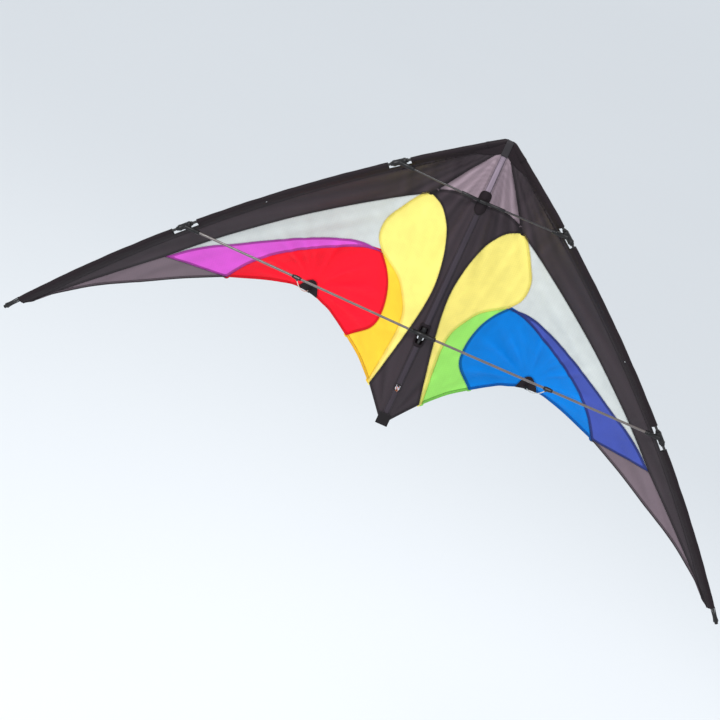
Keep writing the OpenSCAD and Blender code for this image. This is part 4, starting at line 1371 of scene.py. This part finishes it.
TEE_BODY = [(-16, 3.1), (-16, 4.2), (-15.4, 4.7), (-8, 5.3), (-5, 6), (5, 6), (8, 5.6), (15.4, 5.2),
            (16, 4.6), (16, 3.1)]
TEE_BOSS = [(2, 0.3), (2, 5.6), (6, 5.2), (9, 5.2), (12.6, 4.8), (13.4, 3.8), (13.9, 0.3)]
TEE_ARM = socket_arm(TEE_HALF + 1, 5, LOWER_D / 2 + BORE_GAP, SOCKET_L, 5.6)
JOINER_ARM = [(2, 2.35), (2, 3.5), (JOINER_HALF - 0.8, 3.5), (JOINER_HALF - 0.2, 3.2),
              (JOINER_HALF, 2.8), (JOINER_HALF, 2.35)]
tee = [lathe(TEE_BODY, (0, 0, 0), (0, 0, 1)), lathe(TEE_BOSS, (0, 0, 0), (0, -1, 0))]
joiner = [lathe(sleeve_profile(16, 4, 2.4, soft=0.8), UPPER_IN - [8, 0, 0], (1, 0, 0))]
for flip in SIDES.values():
    tee.append(lathe(TEE_ARM, turned(LOWER_IN - LOWER_DIR, flip), turned(LOWER_DIR, flip)))
    joiner.append(lathe(JOINER_ARM, turned(UPPER_IN, flip), turned(UPPER_DIR, flip), 24))
fitting("centre_tee_body", tee, "centre_tee")
fitting("upper_joiner_tube", joiner, "upper_spreader_joiner")

SPINE_CAP = [(0, 0.3), (0, 3.0), (0.5, 3.8), (1.4, 4.2), (14.6, 4.2), (15.6, 4.0), (16, 3.6),
             (16, 3.05), (1.2, 3.05), (1.2, 0.3)]
fitting("spine_cap_body", [lathe(SPINE_CAP, (0, 0, -228.3), (0, 0, 1))], "spine_end_cap")

tie = []
for z, r in ((-137.9, 3.85), (-136.2, 3.95)):
    circle = [(r * math.cos(a), r * math.sin(a), z + 0.35 * math.sin(2 * a))
              for a in np.linspace(0, 2 * math.pi, 40, endpoint=False)]
    tie.append(tube(circle, 0.75, 8, closed=True))
knot = [(2.0 * (math.sin(a) + 2 * math.sin(2 * a)) / 2.6, -6.2 - 0.9 * math.sin(3 * a),
         -137 + 2.0 * (math.cos(a) - 2 * math.cos(2 * a)) / 2.6)
        for a in np.linspace(0, 2 * math.pi, 60, endpoint=False)]
tie.append(tube(knot, 0.75, 8, closed=True))
for x, drop in ((1.4, 7.5), (-1.6, 6)):
    end = [(x * (1 + 0.35 * t), -6.6 - 0.8 * math.sin(2 * t), -138.2 - drop * t)
           for t in np.linspace(0, 1, 8)]
    tie.append(tube(end, 0.7, 8))
fitting("keel_tie_knot", tie, "keel_tie_loop", material=TIE_LINE, slot="tie_line")

leaf = [(5.6, z) for z in np.linspace(-195, -228.5, 12)]
leaf += arc_path(3.6, -229.4, 2.0, 0, -90, 6) + [(y, -231.5) for y in np.linspace(1.5, -5.3, 5)]
strap_piece("tail_strap_fixed", leaf, 13, 1.1, "spine_frame", "tail_patch")
leaf = [(-6.4, z) for z in np.linspace(-232.4, -203, 14)]
strap_piece("tail_strap_free", leaf, 28, 1.2, "tail_tab", "tail_tab")

# ---------- carried-over nodes ----------

FINISHES = {
    "spine_rod": SPINE_TUBE, "leading_rod": LEADING_TUBE, "upper_spreader_rod": UPPER_TUBE,
    "spreader_rod": SPREADER_TUBE, "stand_off_rod": FIBREGLASS, "ferrule": FERRULE,
    "sleeve": SLEEVE, "pocket": BLACK, "webbing": WEBBING, "patch": SLEEVE, "tab": WEBBING,
    "tie_loop": TIE_LINE, "cord": ELASTIC,
}
for name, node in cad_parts.items():
    finish = next((f for key, f in FINISHES.items() if key in name), FITTING)
    for slot in node.material_slots:
        slot.material = finish

# ---------- floor, light and camera ----------


def plain_floor():
    g = Graph("floor_finish")
    soft = g.noise(g.node("TexCoord").outputs["Object"], 0.3, 2.0)
    return g.finish(g.node("BsdfPrincipled", {
        "Base Color": g.scaled(srgb(240, 242, 244), g.vary(soft, 0.99, 1.0)),
        "Roughness": 0.9, "Specular IOR Level": 0.1}))


FLOOR_HALF, FLOOR_Z = 60, -2.6
corners = [(x * FLOOR_HALF, y * FLOOR_HALF, FLOOR_Z)
           for x, y in ((-1, -1), (1, -1), (1, 1), (-1, 1))]
floor = mesh_object("floor", corners, [(0, 1, 2, 3)], plain_floor())
floor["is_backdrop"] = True

world = bpy.data.worlds.new("studio")
bpy.context.scene.world = world
world.use_nodes = True
background = world.node_tree.nodes["Background"].inputs
background["Color"].default_value = srgb(238, 243, 248)
background["Strength"].default_value = 0.9


def area_light(name, place_at, size, power):
    """A square light that is aimed at the frame's origin."""
    light = bpy.data.lights.new(name, "AREA")
    light.shape, light.size, light.size_y = "RECTANGLE", size, size
    light.energy = power
    o = bpy.data.objects.new(name, light)
    bpy.context.scene.collection.objects.link(o)
    o.location = place_at
    o.rotation_euler = (-Vector(place_at)).to_track_quat("-Z", "Y").to_euler()


area_light("key", (-1.6, -3.6, 3.8), size=1.5, power=210)
area_light("back", (1.5, 4.0, 2.5), size=3.0, power=80)

CAMERA_AZIMUTH, CAMERA_ELEVATION, CAMERA_ROLL = (math.radians(a) for a in (-0.66, 21.3, 24.27))
CAMERA_AIM, CAMERA_DISTANCE, CAMERA_LENS = Vector((-0.1, 0, -0.1156)), 4.81, 109.8

lens = bpy.data.cameras.new("camera")
lens.lens = CAMERA_LENS
lens.clip_end = 200
camera = bpy.data.objects.new("camera", lens)
bpy.context.scene.collection.objects.link(camera)
ahead = Vector((-math.sin(CAMERA_AZIMUTH) * math.cos(CAMERA_ELEVATION),
                math.cos(CAMERA_AZIMUTH) * math.cos(CAMERA_ELEVATION),
                -math.sin(CAMERA_ELEVATION)))
camera.location = CAMERA_AIM - ahead * CAMERA_DISTANCE
camera.rotation_mode = "QUATERNION"
camera.rotation_quaternion = (
    ahead.to_track_quat("-Z", "Y") @ Matrix.Rotation(CAMERA_ROLL, 3, "Z").to_quaternion())
bpy.context.scene.camera = camera
bpy.context.scene.view_settings.view_transform = "Standard"

[[list(corner) for corner in box] for box in (CAD_BOX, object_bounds())]
